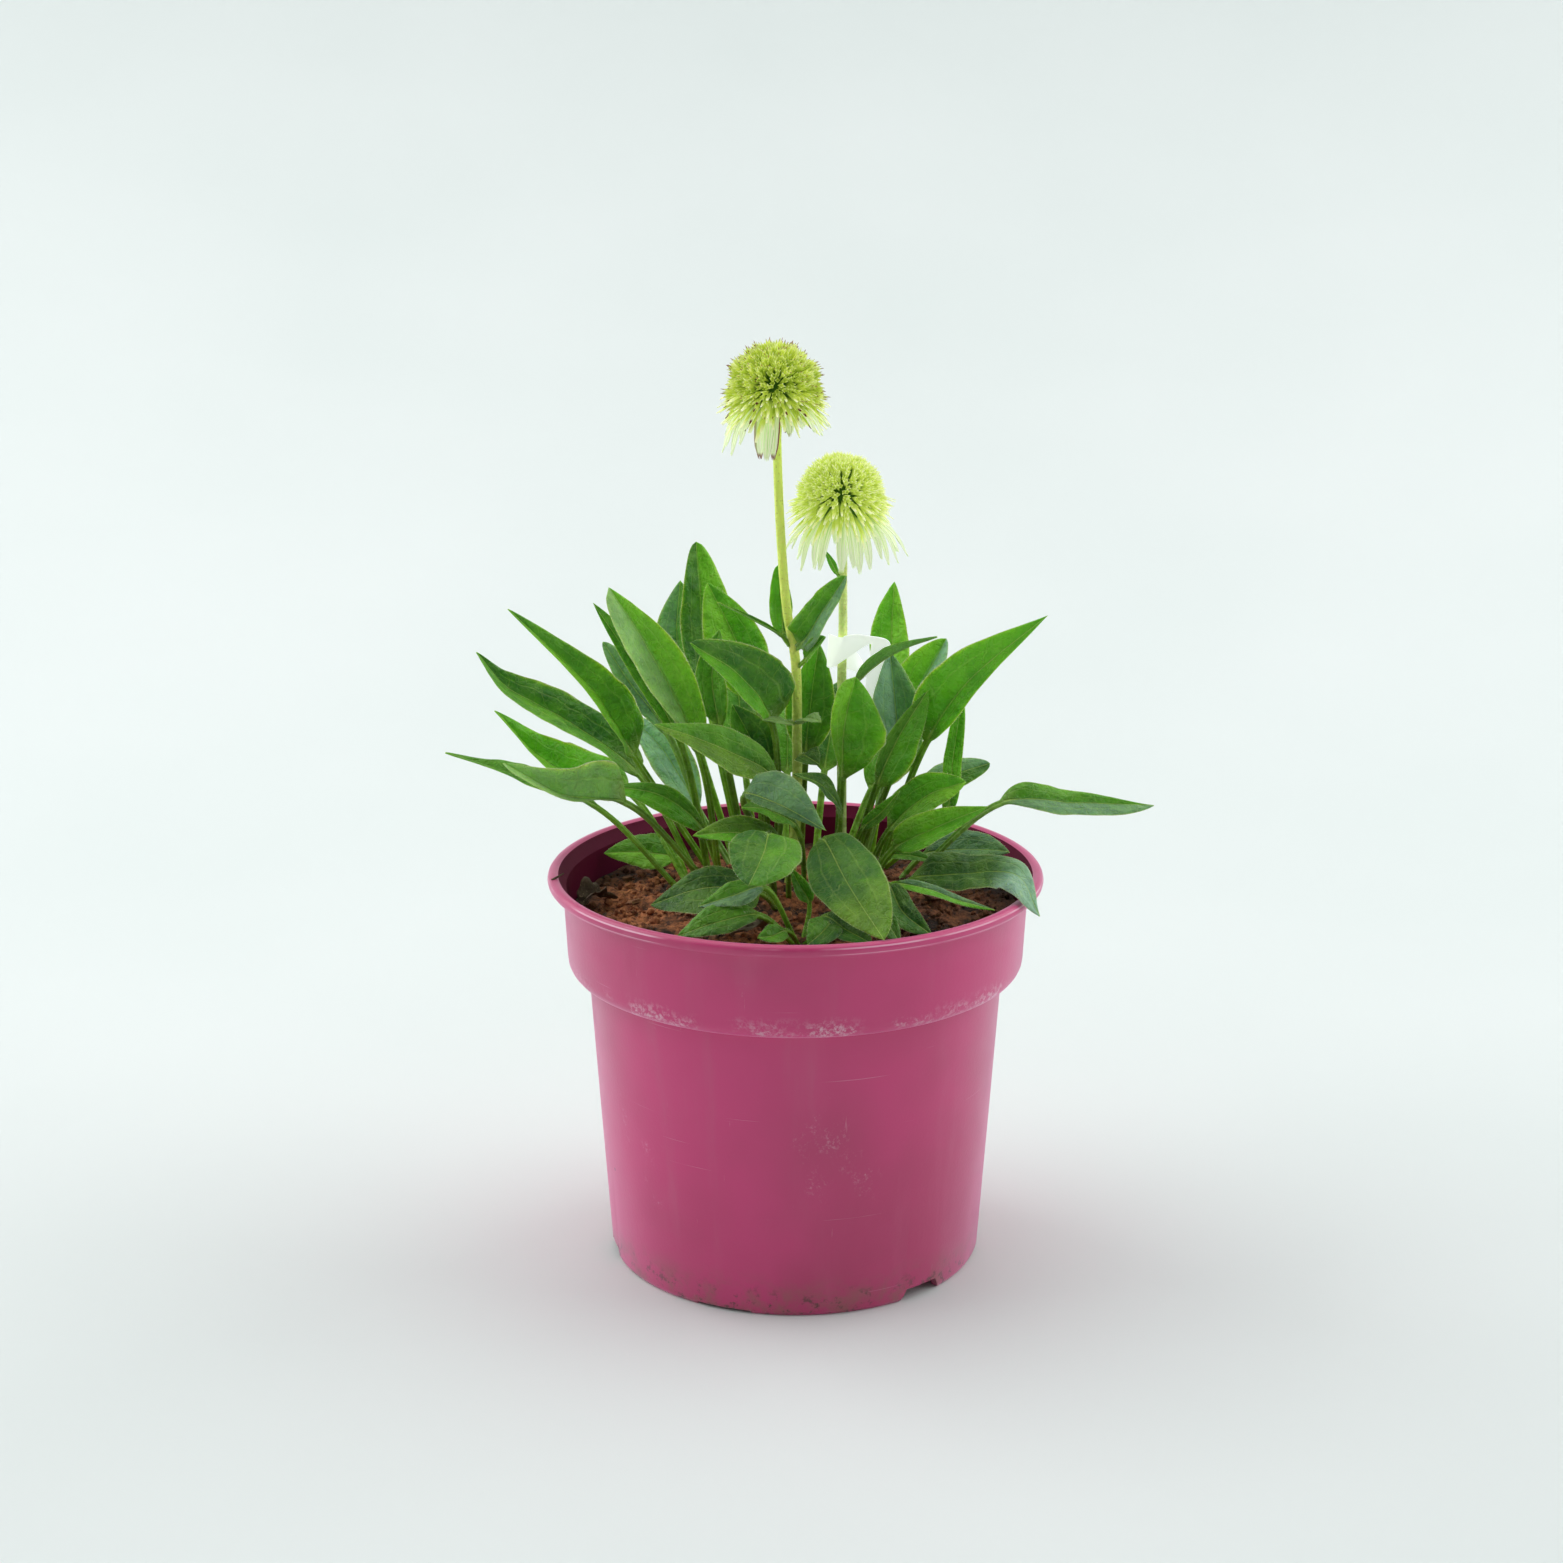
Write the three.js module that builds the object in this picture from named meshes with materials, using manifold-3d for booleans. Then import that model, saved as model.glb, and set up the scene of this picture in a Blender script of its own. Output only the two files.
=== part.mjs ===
// Potted coneflower: a double, green-cream Echinacea in a magenta plastic nursery pot.
// Millimetres, +Z up. The origin is on the table under the middle of the pot; -Y is the front.
// Lists of bare numbers below are places and sizes in millimetres, and angles in degrees.
import * as THREE from 'three';
import { mergeVertices } from 'three/addons/utils/BufferGeometryUtils.js';
import Module from 'manifold-3d';

const wasm = await Module();
wasm.setup();

// Pot, measured from the lip down
const POT_HEIGHT = 153.5;
const LIP_RADIUS = 95;
const LIP_DEPTH = 4.5;
const COLLAR_TOP_RADIUS = 89.2;
const COLLAR_LOW_RADIUS = 87.7;
const COLLAR_LOW_HEIGHT = 120;
const STEP_HEIGHT = 115.4;
const BODY_TOP_RADIUS = 79.8;
const BODY_LOW_RADIUS = 72.2;
const FOOT_RADIUS = 71.2;
const FOOT_WIDTH = 2.8;
const WALL = 1.4;
const PLATE_LOW = 5;
const PLATE_HIGH = 6.5;
const DRAIN_RADIUS = 4.5;
const DRAIN_CIRCLE = 52;
const POT_SIDES = 36;

// Soil, the stems' and petioles' holes in it, and the gap that parts keep to each other
const SOIL_EDGE_HEIGHT = 137;
const SOIL_MOUND = 9;
const SOIL_MOUND_REACH = 48;
const SOIL_SIDES = 24;
const SOIL_GAP = 0.6;
const CLEARANCE = 0.3;

// Leaves and petioles
const PETIOLE_WIDTH = 2.8;
const BLADE_THICKNESS = 0.8;
const RIB_THICKNESS = 1.5;
const TIP_HALF_WIDTH = 0.7;
const PETIOLE_STEPS = 3;
const BLADE_STEPS = 6;
const SMALL_LEAF = 45;

// Flowering stems
const STEM_STEPS = 12;
const STEM_SIDES = 6;

// Blooms
const DOME_RADIUS = 18;
const CORE_RADIUS = 11.6;
const FLORETS = 96;
const FLORET_LOWEST = -24;
const RAY_RING_OUTER = 8;
const RAY_THICKNESS = 0.8;
const RAY_STEPS = 3;

const COLOURS = {
  pot: 0xa8406b,
  soil: 0x6a3a22,
  leaf: 0x3f7d22,
  darkLeaf: 0x2f5f34,
  stem: 0xa9c050,
  floret: 0xb9cc52,
  ray: 0xe6edc4,
  label: 0xeef1ee,
  dryLeaf: 0x4a3a2c,
};

function material(colour, roughness = 0.6) {
  return new THREE.MeshStandardMaterial({ color: colour, roughness, metalness: 0 });
}

function radians(degrees) {
  return degrees * Math.PI / 180;
}

// A closed mesh becomes a solid, turned the right way out if it was inside out
function toSolid(geometry) {
  const bare = geometry.clone();
  bare.deleteAttribute('normal');
  bare.deleteAttribute('uv');
  const merged = mergeVertices(bare, 1e-4);
  const triangles = Uint32Array.from(merged.index.array);
  const positions = Float32Array.from(merged.attributes.position.array);
  const build = (triVerts) => new wasm.Manifold(new wasm.Mesh({ numProp: 3, vertProperties: positions, triVerts }));
  const first = build(triangles);
  if (first.volume() >= 0) return first;
  const turned = triangles.slice();
  for (let i = 0; i < turned.length; i += 3) {
    turned[i + 1] = triangles[i + 2];
    turned[i + 2] = triangles[i + 1];
  }
  return build(turned);
}

function toMesh(name, solid, look) {
  const { vertProperties, triVerts } = solid.getMesh();
  const geometry = new THREE.BufferGeometry();
  geometry.setAttribute('position', new THREE.BufferAttribute(Float32Array.from(vertProperties), 3));
  geometry.setIndex(new THREE.BufferAttribute(Uint32Array.from(triVerts), 1));
  geometry.computeVertexNormals();
  const mesh = new THREE.Mesh(geometry, look);
  mesh.name = name;
  return mesh;
}

function join(solids) {
  return solids.reduce((whole, next) => whole.add(next));
}

// Rings of points, all of one count, skinned into a closed body with flat ends.
// The quads of the first half of a ring and those facing them in the second half
// are split alike, so that a thin blade's two faces never cross.
function skin(rings) {
  const count = rings[0].length;
  const points = rings.flat();
  const faces = [];
  for (let i = 0; i + 1 < rings.length; i += 1) {
    for (let j = 0; j < count; j += 1) {
      const a = i * count + j;
      const b = i * count + (j + 1) % count;
      const c = b + count;
      const d = a + count;
      if (j < count / 2) faces.push(a, b, c, a, c, d);
      else faces.push(a, b, d, b, c, d);
    }
  }
  const last = (rings.length - 1) * count;
  for (let j = 2; j < count; j += 1) {
    faces.push(1, (j + 1) % count, j);
    faces.push(last + 1, last + j, last + (j + 1) % count);
  }
  const geometry = new THREE.BufferGeometry();
  geometry.setAttribute('position', new THREE.Float32BufferAttribute(points.flatMap((p) => [p.x, p.y, p.z]), 3));
  geometry.setIndex(faces);
  return toSolid(geometry);
}

// How wide a blade is at share s of its length, as a share of its widest place near the base
function bladeOutline(s) {
  return s <= 0 || s >= 1 ? 0 : Math.sin(Math.PI * s ** 0.75) ** 0.8;
}

// Places along a leaf's rib, each with its own directions: along the rib, sideways across
// the blade, and out of the upper side. s is the share of the blade's length, 0 on the petiole.
function leafPlaces(rib, face) {
  const curve = new THREE.CatmullRomCurve3(rib.map((p) => new THREE.Vector3(...p)), false, 'centripetal');
  const base = 1 / (rib.length - 1);
  const long = curve.getLength() > SMALL_LEAF;
  const petioleSteps = long ? PETIOLE_STEPS : 1;
  const bladeSteps = long ? BLADE_STEPS : BLADE_STEPS - 2;
  const across = curve.getPoint(1).sub(curve.getPoint(base)).cross(new THREE.Vector3(...face));
  const places = [];
  for (let i = 0; i <= petioleSteps + bladeSteps; i += 1) {
    const s = Math.max(0, (i - petioleSteps) / bladeSteps);
    const t = i <= petioleSteps ? base * i / petioleSteps : base + (1 - base) * s;
    const along = curve.getPoint(Math.min(1, t + 0.01)).sub(curve.getPoint(Math.max(0, t - 0.01))).normalize();
    const side = across.clone().addScaledVector(along, -across.dot(along)).normalize();
    places.push({ s, centre: curve.getPoint(t), along, side, normal: side.clone().cross(along) });
  }
  return places;
}

// One leaf. rib runs from the root through the blade's base to its tip; face is where
// the upper side looks; fold lifts both halves from the rib; wave ripples the edges.
function leafSolid(rib, width, face, fold, wave) {
  const stalk = Math.min(PETIOLE_WIDTH, Math.max(1.3, width / 4));
  return skin(leafPlaces(rib, face).map(({ s, centre, side, normal }) => {
    const taper = Math.min(1, s * 4);
    const half = Math.max(width / 2 * bladeOutline(s), s === 0 ? stalk / 2 : TIP_HALF_WIDTH);
    const edge = THREE.MathUtils.lerp(stalk * 0.43, BLADE_THICKNESS, taper) / 2;
    const middle = THREE.MathUtils.lerp(stalk * 0.86, RIB_THICKNESS * (1 - 0.4 * s), taper) / 2;
    const lift = Math.sin(radians(fold)) * taper;
    const spread = Math.cos(radians(fold) * taper);
    const ripple = wave * bladeOutline(s);
    const at = (across, high) => centre.clone().addScaledVector(side, across).addScaledVector(normal, high);
    const left = half * lift + ripple * Math.sin(9 * s + 1);
    const right = half * lift + ripple * Math.sin(9 * s + 3);
    return [
      at(-half * spread, left + edge), at(0, middle), at(half * spread, right + edge),
      at(half * spread, right - edge), at(0, -middle), at(-half * spread, left - edge),
    ];
  }));
}

// The plain four-sided hole that a petiole stands in
function petioleHole(rib, width, face) {
  const wide = PETIOLE_WIDTH / 2 + CLEARANCE;
  const high = PETIOLE_WIDTH * 0.43 + CLEARANCE;
  const petiole = leafPlaces(rib, face).filter((place) => place.s === 0).slice(0, 3);
  return skin(petiole.map(({ centre, along, side, normal }, i) => {
    const middle = centre.clone().addScaledVector(along, i === 0 ? -CLEARANCE : 0);
    const at = (across, out) => middle.clone().addScaledVector(side, across).addScaledVector(normal, out);
    return [at(-wide, high), at(wide, high), at(wide, -high), at(-wide, -high)];
  }));
}

// The rings of a round stem through the given points, thinner towards its end
function stemRings(points, startRadius, endRadius) {
  const curve = new THREE.CatmullRomCurve3(points.map((p) => new THREE.Vector3(...p)), false, 'centripetal');
  const rings = [];
  for (let i = 0; i <= STEM_STEPS; i += 1) {
    const t = i / STEM_STEPS;
    const centre = curve.getPoint(t);
    const along = curve.getPoint(Math.min(1, t + 0.01)).sub(curve.getPoint(Math.max(0, t - 0.01))).normalize();
    const side = along.clone().cross(new THREE.Vector3(0, 1, 0)).normalize();
    const front = side.clone().cross(along);
    const radius = THREE.MathUtils.lerp(startRadius, endRadius, t);
    const ring = [];
    for (let k = 0; k < STEM_SIDES; k += 1) {
      const angle = -2 * Math.PI * k / STEM_SIDES;
      const across = side.clone().multiplyScalar(radius * Math.cos(angle));
      ring.push(centre.clone().add(across).addScaledVector(front, radius * Math.sin(angle)));
    }
    rings.push(ring);
  }
  return rings;
}

// A body of revolution about +Z from [radius, height] pairs
function turned(profile, sides) {
  const lathe = new THREE.LatheGeometry(profile.map(([r, z]) => new THREE.Vector2(r, z)), sides);
  lathe.rotateX(Math.PI / 2);
  return lathe;
}

// Pot: one moulding with a rounded lip, a collar, a tapered body, a raised bottom plate
// with drain holes, and a foot ring with deep and shallow notches that take turns
function potSolid() {
  const outside = [
    [FOOT_RADIUS - FOOT_WIDTH, PLATE_LOW], [FOOT_RADIUS - FOOT_WIDTH, 0], [FOOT_RADIUS, 0],
    [BODY_LOW_RADIUS, 1.8], [BODY_TOP_RADIUS, STEP_HEIGHT - 1.4], [BODY_TOP_RADIUS + 0.8, STEP_HEIGHT],
    [84.8, STEP_HEIGHT + 0.2], [86.8, 117.3], [COLLAR_LOW_RADIUS, COLLAR_LOW_HEIGHT],
    [COLLAR_TOP_RADIUS, POT_HEIGHT - LIP_DEPTH], [93.8, POT_HEIGHT - LIP_DEPTH], [LIP_RADIUS, 150.4],
    [LIP_RADIUS, 152.2], [93.8, POT_HEIGHT], [91.8, POT_HEIGHT],
  ];
  const inside = [
    [COLLAR_TOP_RADIUS - WALL, POT_HEIGHT - LIP_DEPTH], [COLLAR_LOW_RADIUS - WALL, COLLAR_LOW_HEIGHT + 1],
    [83.6, STEP_HEIGHT + WALL + 0.4], [BODY_TOP_RADIUS - WALL, STEP_HEIGHT + 0.4],
    [BODY_LOW_RADIUS - WALL, PLATE_HIGH],
  ];
  const profile = [[0, PLATE_LOW], ...outside, ...inside, [0, PLATE_HIGH]];
  let pot = toSolid(turned(profile, POT_SIDES));
  for (let k = 0; k < 6; k += 1) {
    const deep = k % 2 === 0;
    const high = deep ? PLATE_LOW - 0.2 : 1.2;
    const slant = deep ? 3 : 0.8;
    const half = deep ? 10.5 : 11.5;
    const outline = new THREE.Shape([
      new THREE.Vector2(-half, -1), new THREE.Vector2(half, -1),
      new THREE.Vector2(half - slant, high), new THREE.Vector2(-half + slant, high),
    ]);
    const notch = new THREE.ExtrudeGeometry(outline, { depth: 16, bevelEnabled: false });
    notch.rotateX(Math.PI / 2);
    notch.translate(0, -FOOT_RADIUS + 8, 0);
    notch.rotateZ(radians(deep ? 41.5 : -22.3) + radians(120) * Math.floor(k / 2));
    pot = pot.subtract(toSolid(notch));
  }
  for (let k = 0; k < 6; k += 1) {
    const hole = new THREE.CylinderGeometry(DRAIN_RADIUS, DRAIN_RADIUS, 6, 12);
    hole.rotateX(Math.PI / 2);
    hole.translate(DRAIN_CIRCLE, 0, (PLATE_LOW + PLATE_HIGH) / 2);
    hole.rotateZ(radians(60 * k + 10));
    pot = pot.subtract(toSolid(hole));
  }
  return pot;
}

// Height of the soil surface: a low mound round the crown, with coarse lumps
function soilHeight(x, y) {
  const mound = SOIL_MOUND * Math.exp(-(x * x + y * y) / SOIL_MOUND_REACH ** 2);
  return SOIL_EDGE_HEIGHT + mound + 0.7 * Math.sin(0.21 * x + 1.3) * Math.cos(0.19 * y) + 0.5 * Math.sin(0.37 * y);
}

// Soil: one root ball that fills the pot, with a plain hole for every stem and petiole
function soilSolid(holes) {
  const inside = WALL + SOIL_GAP;
  const side = [
    [0, PLATE_HIGH + CLEARANCE], [BODY_LOW_RADIUS - inside, PLATE_HIGH + CLEARANCE],
    [BODY_TOP_RADIUS - inside, STEP_HEIGHT + 0.8], [COLLAR_LOW_RADIUS - inside, COLLAR_LOW_HEIGHT + 2],
  ];
  const rim = COLLAR_LOW_RADIUS - inside + 0.8;
  const top = [rim, 72, 57, 42, 27, 13, 0].map((r) => [r, SOIL_EDGE_HEIGHT]);
  const lathe = turned([...side, ...top], SOIL_SIDES);
  const place = lathe.attributes.position;
  for (let i = 0; i < place.count; i += 1) {
    if (place.getZ(i) > SOIL_EDGE_HEIGHT - 1) place.setZ(i, soilHeight(place.getX(i), place.getY(i)));
  }
  // Crumbs left between two holes fall away: only the root ball itself is kept
  return toSolid(lathe).subtract(join(holes)).decompose().sort((a, b) => b.volume() - a.volume())[0];
}

// A domed head: a core with tube florets that stand out of it all round, on a spiral
function domeSolid(centre) {
  const [cx, cy, cz] = centre;
  const profile = [[0, -7], [8.5, -7], [CORE_RADIUS, -1], [9, 7.6], [0, CORE_RADIUS + 0.4]];
  const parts = [toSolid(turned(profile, 10))];
  const lowest = Math.sin(radians(FLORET_LOWEST));
  for (let k = 0; k < FLORETS; k += 1) {
    const high = 1 - (1 - lowest) * (k + 0.5) / FLORETS;
    const angle = k * radians(137.508);
    const flat = Math.sqrt(1 - high * high);
    const out = new THREE.Vector3(flat * Math.cos(angle), flat * Math.sin(angle), high);
    const across = out.clone().cross(new THREE.Vector3(0, 0.1, 1)).normalize();
    const along = across.clone().cross(out);
    const reach = DOME_RADIUS * (0.95 + 0.05 * Math.sin(k * 2.4)) - (k < 12 ? 2 : 0);
    const ring = (distance, radius) => [0, 1, 2].map((j) => {
      const turn = 2 * Math.PI * j / 3 + k;
      return out.clone().multiplyScalar(distance)
        .addScaledVector(across, radius * Math.cos(turn)).addScaledVector(along, radius * Math.sin(turn));
    });
    parts.push(skin([ring(CORE_RADIUS - 3, 0.7), ring(reach, 1.8)]));
  }
  return join(parts).translate([cx, cy, cz]);
}

// The drooping rays: strips that hang from a ring under the dome
function raysSolid(centre, rays, stemRadius) {
  const [cx, cy, cz] = centre;
  const inner = stemRadius + CLEARANCE + 0.1;
  const ring = [[inner, -9.4], [RAY_RING_OUTER, -9.4], [RAY_RING_OUTER, -7.3], [inner, -7.3], [inner, -9.4]];
  const parts = [toSolid(turned(ring, 12))];
  for (const [azimuth, reach, drop, width] of rays) {
    const angle = radians(azimuth);
    const out = new THREE.Vector3(Math.sin(angle), -Math.cos(angle), 0);
    const across = new THREE.Vector3(Math.cos(angle), Math.sin(angle), 0);
    const path = new THREE.CatmullRomCurve3([
      out.clone().multiplyScalar(6).setZ(-8.4), out.clone().multiplyScalar(reach * 0.78).setZ(-10),
      out.clone().multiplyScalar(reach * 0.95).setZ(-14.5), out.clone().multiplyScalar(reach).setZ(-drop),
    ], false, 'centripetal');
    const rings = [];
    for (let i = 0; i <= RAY_STEPS; i += 1) {
      const t = i / RAY_STEPS;
      const point = path.getPoint(t);
      const along = path.getPoint(Math.min(1, t + 0.02)).sub(path.getPoint(Math.max(0, t - 0.02))).normalize();
      const normal = across.clone().cross(along).normalize();
      const half = width / 2 * (0.65 + 0.35 * Math.sin(Math.PI * t)) * (t === 1 ? 0.45 : 1);
      const at = (aside, high) => point.clone().addScaledVector(across, aside).addScaledVector(normal, high);
      const thick = RAY_THICKNESS / 2;
      rings.push([at(-half, thick), at(half, thick), at(half, -thick), at(-half, -thick)]);
    }
    parts.push(skin(rings));
  }
  return join(parts).translate([cx, cy, cz]);
}

// The label: a blank plastic strip bent into a loop round a stem, its two ends together in a tail
function labelSolid() {
  const outer = new THREE.Shape();
  outer.moveTo(26, -1.1);
  outer.lineTo(12, -1.1);
  outer.bezierCurveTo(6, -8, -10, -9, -10, 0);
  outer.bezierCurveTo(-10, 9, 6, 8, 12, 1.1);
  outer.lineTo(26, 1.1);
  const hole = new THREE.Path();
  hole.moveTo(11, 0);
  hole.bezierCurveTo(6, 7, -8.8, 8, -8.8, 0);
  hole.bezierCurveTo(-8.8, -8, 6, -7, 11, 0);
  outer.holes.push(hole);
  const strip = new THREE.ExtrudeGeometry(outer, { depth: 13, bevelEnabled: false, curveSegments: 6 });
  strip.translate(0, 0, -6.5);
  strip.rotateX(radians(-8));
  strip.rotateY(radians(12));
  strip.translate(21, 17, 234);
  return toSolid(strip);
}

// Basal leaves: root, blade base, ..., tip; width; where the upper side looks; fold; wave
const LEAVES = [
  // To the left, from the lowest up
  ['left_1', [[-43, 13, 138], [-76, 14, 173], [-104, 14, 185], [-131, 12, 195]], 11, [0, -2, 10], 10, 1],
  ['left_2', [[-34, 28, 138], [-65, -2, 180], [-86, -14, 186], [-109, -22, 201]], 25, [2, -7, 7], 35, 1],
  ['left_3', [[-32, 37, 138], [-62, 14, 194], [-80, 8, 217], [-107, -2, 254]], 22, [6, -6, 5], 30, 1],
  ['left_4', [[-37, 28, 138], [-61, 30, 182], [-91, 34, 205], [-124, 36, 230]], 26, [3, -5, 8], 28, 1],
  ['left_5', [[-41, 23, 138], [-67, 44, 172], [-97, 47, 189], [-119, 50, 203]], 18, [3, -5, 8], 28, 1],
  ['left_6', [[-29, 20, 138], [-38, 0, 198], [-55, -8, 237], [-69, -14, 266]], 25, [6, -8, 3], 25, 1],
  ['left_7', [[-33, 23, 138], [-44, 16, 198], [-59, 13, 227], [-75, 10, 254]], 15, [-3, -9, 3], 20, 1],
  ['left_8', [[-30, 44, 138], [-50, 46, 194], [-65, 50, 214], [-76, 54, 230]], 14, [2, -9, 3], 15, 1],
  ['left_9', [[-25, 50, 138], [-39, 52, 162], [-53, 58, 185], [-67, 62, 198]], 18, [3, -8, 4], 15, 1],
  ['left_10', [[-29, 36, 138], [-36, 14, 165], [-51, 7, 180], [-73, 8, 184]], 15, [0, -8, 6], 15, 1],
  ['left_11', [[-43, 36, 138], [-47, 39, 145], [-60, 41, 147], [-76, 40, 147]], 17, [0, -6, 7], 8, 0],
  // Behind, standing tall
  ['back_1', [[-20, 47, 138], [-34, 44, 209], [-37, 55, 242], [-39, 60, 269]], 19, [3, -9, 1], 15, 2],
  ['back_2', [[-24, 55, 138], [-42, 60, 199], [-48, 74, 226], [-48, 80, 250]], 24, [-1, -9, 1], 10, 1],
  ['back_3', [[-13, 44, 138], [-15, 28, 213], [-23, 34, 235], [-34, 38, 257]], 29, [2, -9, 2], 12, 1],
  ['back_4', [[-15, 54, 138], [-20, 64, 175], [-22, 75, 196], [-24, 85, 212]], 22, [0, -9, 3], 10, 1],
  ['back_5', [[-4, 54, 138], [-3, 70, 172], [-3, 82, 188], [-4, 94, 197]], 22, [0, -8, 6], 10, 1],
  ['back_6', [[8, 53, 138], [12, 66, 174], [16, 76, 194], [20, 86, 207]], 22, [0, -9, 3], 10, 1],
  ['back_7', [[19, 56, 138], [31, 66, 166], [42, 76, 181], [53, 82, 190]], 20, [-1, -9, 3], 10, 1],
  // In the middle
  ['middle_1', [[-7, 20, 138], [-9, -4, 212], [-19, -11, 230], [-39, -18, 246]], 29, [4, -9, 5], 18, 1],
  ['middle_2', [[-10, 0, 138], [-7, -14, 191], [-27, -24, 207], [-52, -30, 218]], 19, [2, -7, 7], 15, 1],
  ['middle_3', [[-17, 28, 138], [-29, 14, 206], [-32, 16, 225], [-29, 18, 243]], 14, [-3, -9, 1], 20, 1],
  ['middle_4', [[-12, 23, 138], [-12, 4, 192], [-17, 2, 204], [-24, 0, 218]], 20, [1, -9, 4], 20, 1],
  ['middle_5', [[3, 10, 138], [17, -16, 178], [10, -22, 192], [-1, -26, 198]], 9, [4, -5, 8], 20, 1],
  ['middle_6', [[2, 44, 138], [4, 22, 193], [6, 22, 214], [9, 22, 237]], 20, [1, -9, 1], 15, 1],
  // To the right
  ['right_1', [[31, 29, 138], [50, 5, 202], [65, -4, 228], [93, -10, 254]], 22, [-2, -9, 4], 12, 1],
  ['right_2', [[31, 65, 138], [44, 60, 209], [41, 72, 231], [40, 78, 249]], 17, [-1, -9, 1], 12, 1],
  ['right_3', [[27, 51, 138], [41, 30, 198], [49, 36, 216], [58, 40, 234]], 18, [-4, -9, 2], 30, 1],
  ['right_4', [[22, 44, 138], [39, 12, 196], [38, 13, 216], [36, 14, 235]], 19, [0, -9, 2], 15, 1],
  ['right_5', [[15, 4, 138], [17, -12, 192], [21, -16, 213], [20, -20, 233]], 22, [2, -9, 1], 20, 1],
  ['right_6', [[21, 27, 138], [31, 0, 186], [39, 0, 205], [49, 0, 222]], 21, [-3, -8, 2], 15, 1],
  ['right_7', [[34, 44, 138], [51, 22, 172], [57, 28, 187], [63, 32, 211]], 9, [-1, -9, 1], 10, 0],
  ['right_8', [[37, 61, 138], [52, 44, 170], [64, 48, 177], [77, 52, 182]], 13, [-2, -9, 5], 10, 0],
  ['right_9', [[26, 20, 138], [36, -4, 170], [49, -8, 184], [64, -12, 191]], 18, [-3, -8, 6], 18, 1],
  ['right_10', [[26, -1, 138], [37, -20, 167], [51, -24, 176], [71, -28, 185]], 16, [-2, -8, 5], 30, 1],
  ['right_11', [[21, 20, 138], [25, -14, 173], [32, -16, 180], [39, -18, 189]], 6, [-3, -9, 3], 20, 0],
  ['right_12', [[34, -2, 138], [78, -6, 181], [105, -6, 181], [133, -6, 180]], 15, [1, -6, 8], 12, 1],
  ['right_13', [[40, 28, 138], [51, 28, 150], [68, 22, 154], [83, 12, 156]], 18, [0, -6, 8], 8, 0],
  ['right_14', [[34, -8, 138], [44, -26, 157], [62, -30, 160], [81, -36, 162], [90, -46, 149]], 25, [1, -5, 9], 10, 1],
  ['right_16', [[30, 15, 138], [34, -10, 161], [43, -12, 162], [53, -14, 160]], 7, [0, -5, 8], 20, 0],
  // In front
  ['front_3', [[13, -2, 138], [10, -34, 175], [19, -62, 166], [30, -88, 154]], 31, [-3, -7, 8], 8, 1],
  ['front_4', [[-8, -6, 138], [-10, -48, 181], [-12, -64, 178], [-14, -76, 171]], 28, [0, -7, 7], 5, 1],
  ['front_5', [[-2, 20, 138], [-19, -28, 191], [-6, -38, 192], [11, -46, 182]], 20, [1, -9, 4], 15, 1],
  ['front_6', [[-2, -9, 138], [-6, -27, 172], [-21, -32, 177], [-38, -39, 178]], 13, [0, -7, 7], 15, 1],
  ['front_7', [[4, -3, 138], [0, -24, 177], [-10, -27, 184], [-20, -33, 187]], 11, [1, -6, 8], 20, 1],
  ['front_8', [[-6, -12, 138], [-14, -36, 155], [-33, -40, 158], [-54, -36, 150]], 24, [0, -6, 8], 10, 1],
];

// Young shoots: small leaves that grow from one root, in the same form as the leaves above
const SHOOTS = {
  shoot_front: [
    [[[0.8, -47, 137], [-14, -60, 154], [-29, -66, 155], [-42, -66, 149]], 20, [0, -6, 8], 10, 1],
    [[[1.9, -47.6, 137.3], [-4, -66, 150], [-9, -72, 150], [-14, -74, 150]], 9, [0, -6, 8], 15, 0],
    [[[2.6, -46.8, 136.8], [12, -64, 152], [9, -72, 151], [4, -76, 148]], 13, [1, -5, 8], 15, 0],
    [[[3.6, -46.2, 137.2], [10, -56, 152], [18, -68, 151], [27, -78, 149]], 16, [0, -5, 8], 15, 0],
    [[[2.2, -45.4, 137.5], [5, -40, 152], [2, -40, 158], [-2, -41, 166]], 7, [3, -9, 1], 20, 0],
  ],
  shoot_right: [
    [[[28, -12, 138], [34, -46, 161], [41, -60, 157], [49, -72, 150]], 17, [-1, -6, 7], 12, 1],
    [[[26.8, -12.7, 137.4], [31, -58, 157], [36, -70, 154], [40, -78, 150]], 12, [0, -6, 7], 12, 0],
    [[[29.4, -11.5, 137.6], [37, -42, 161], [52, -50, 160], [70, -55, 156]], 10, [0, -5, 8], 20, 1],
  ],
};

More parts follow.
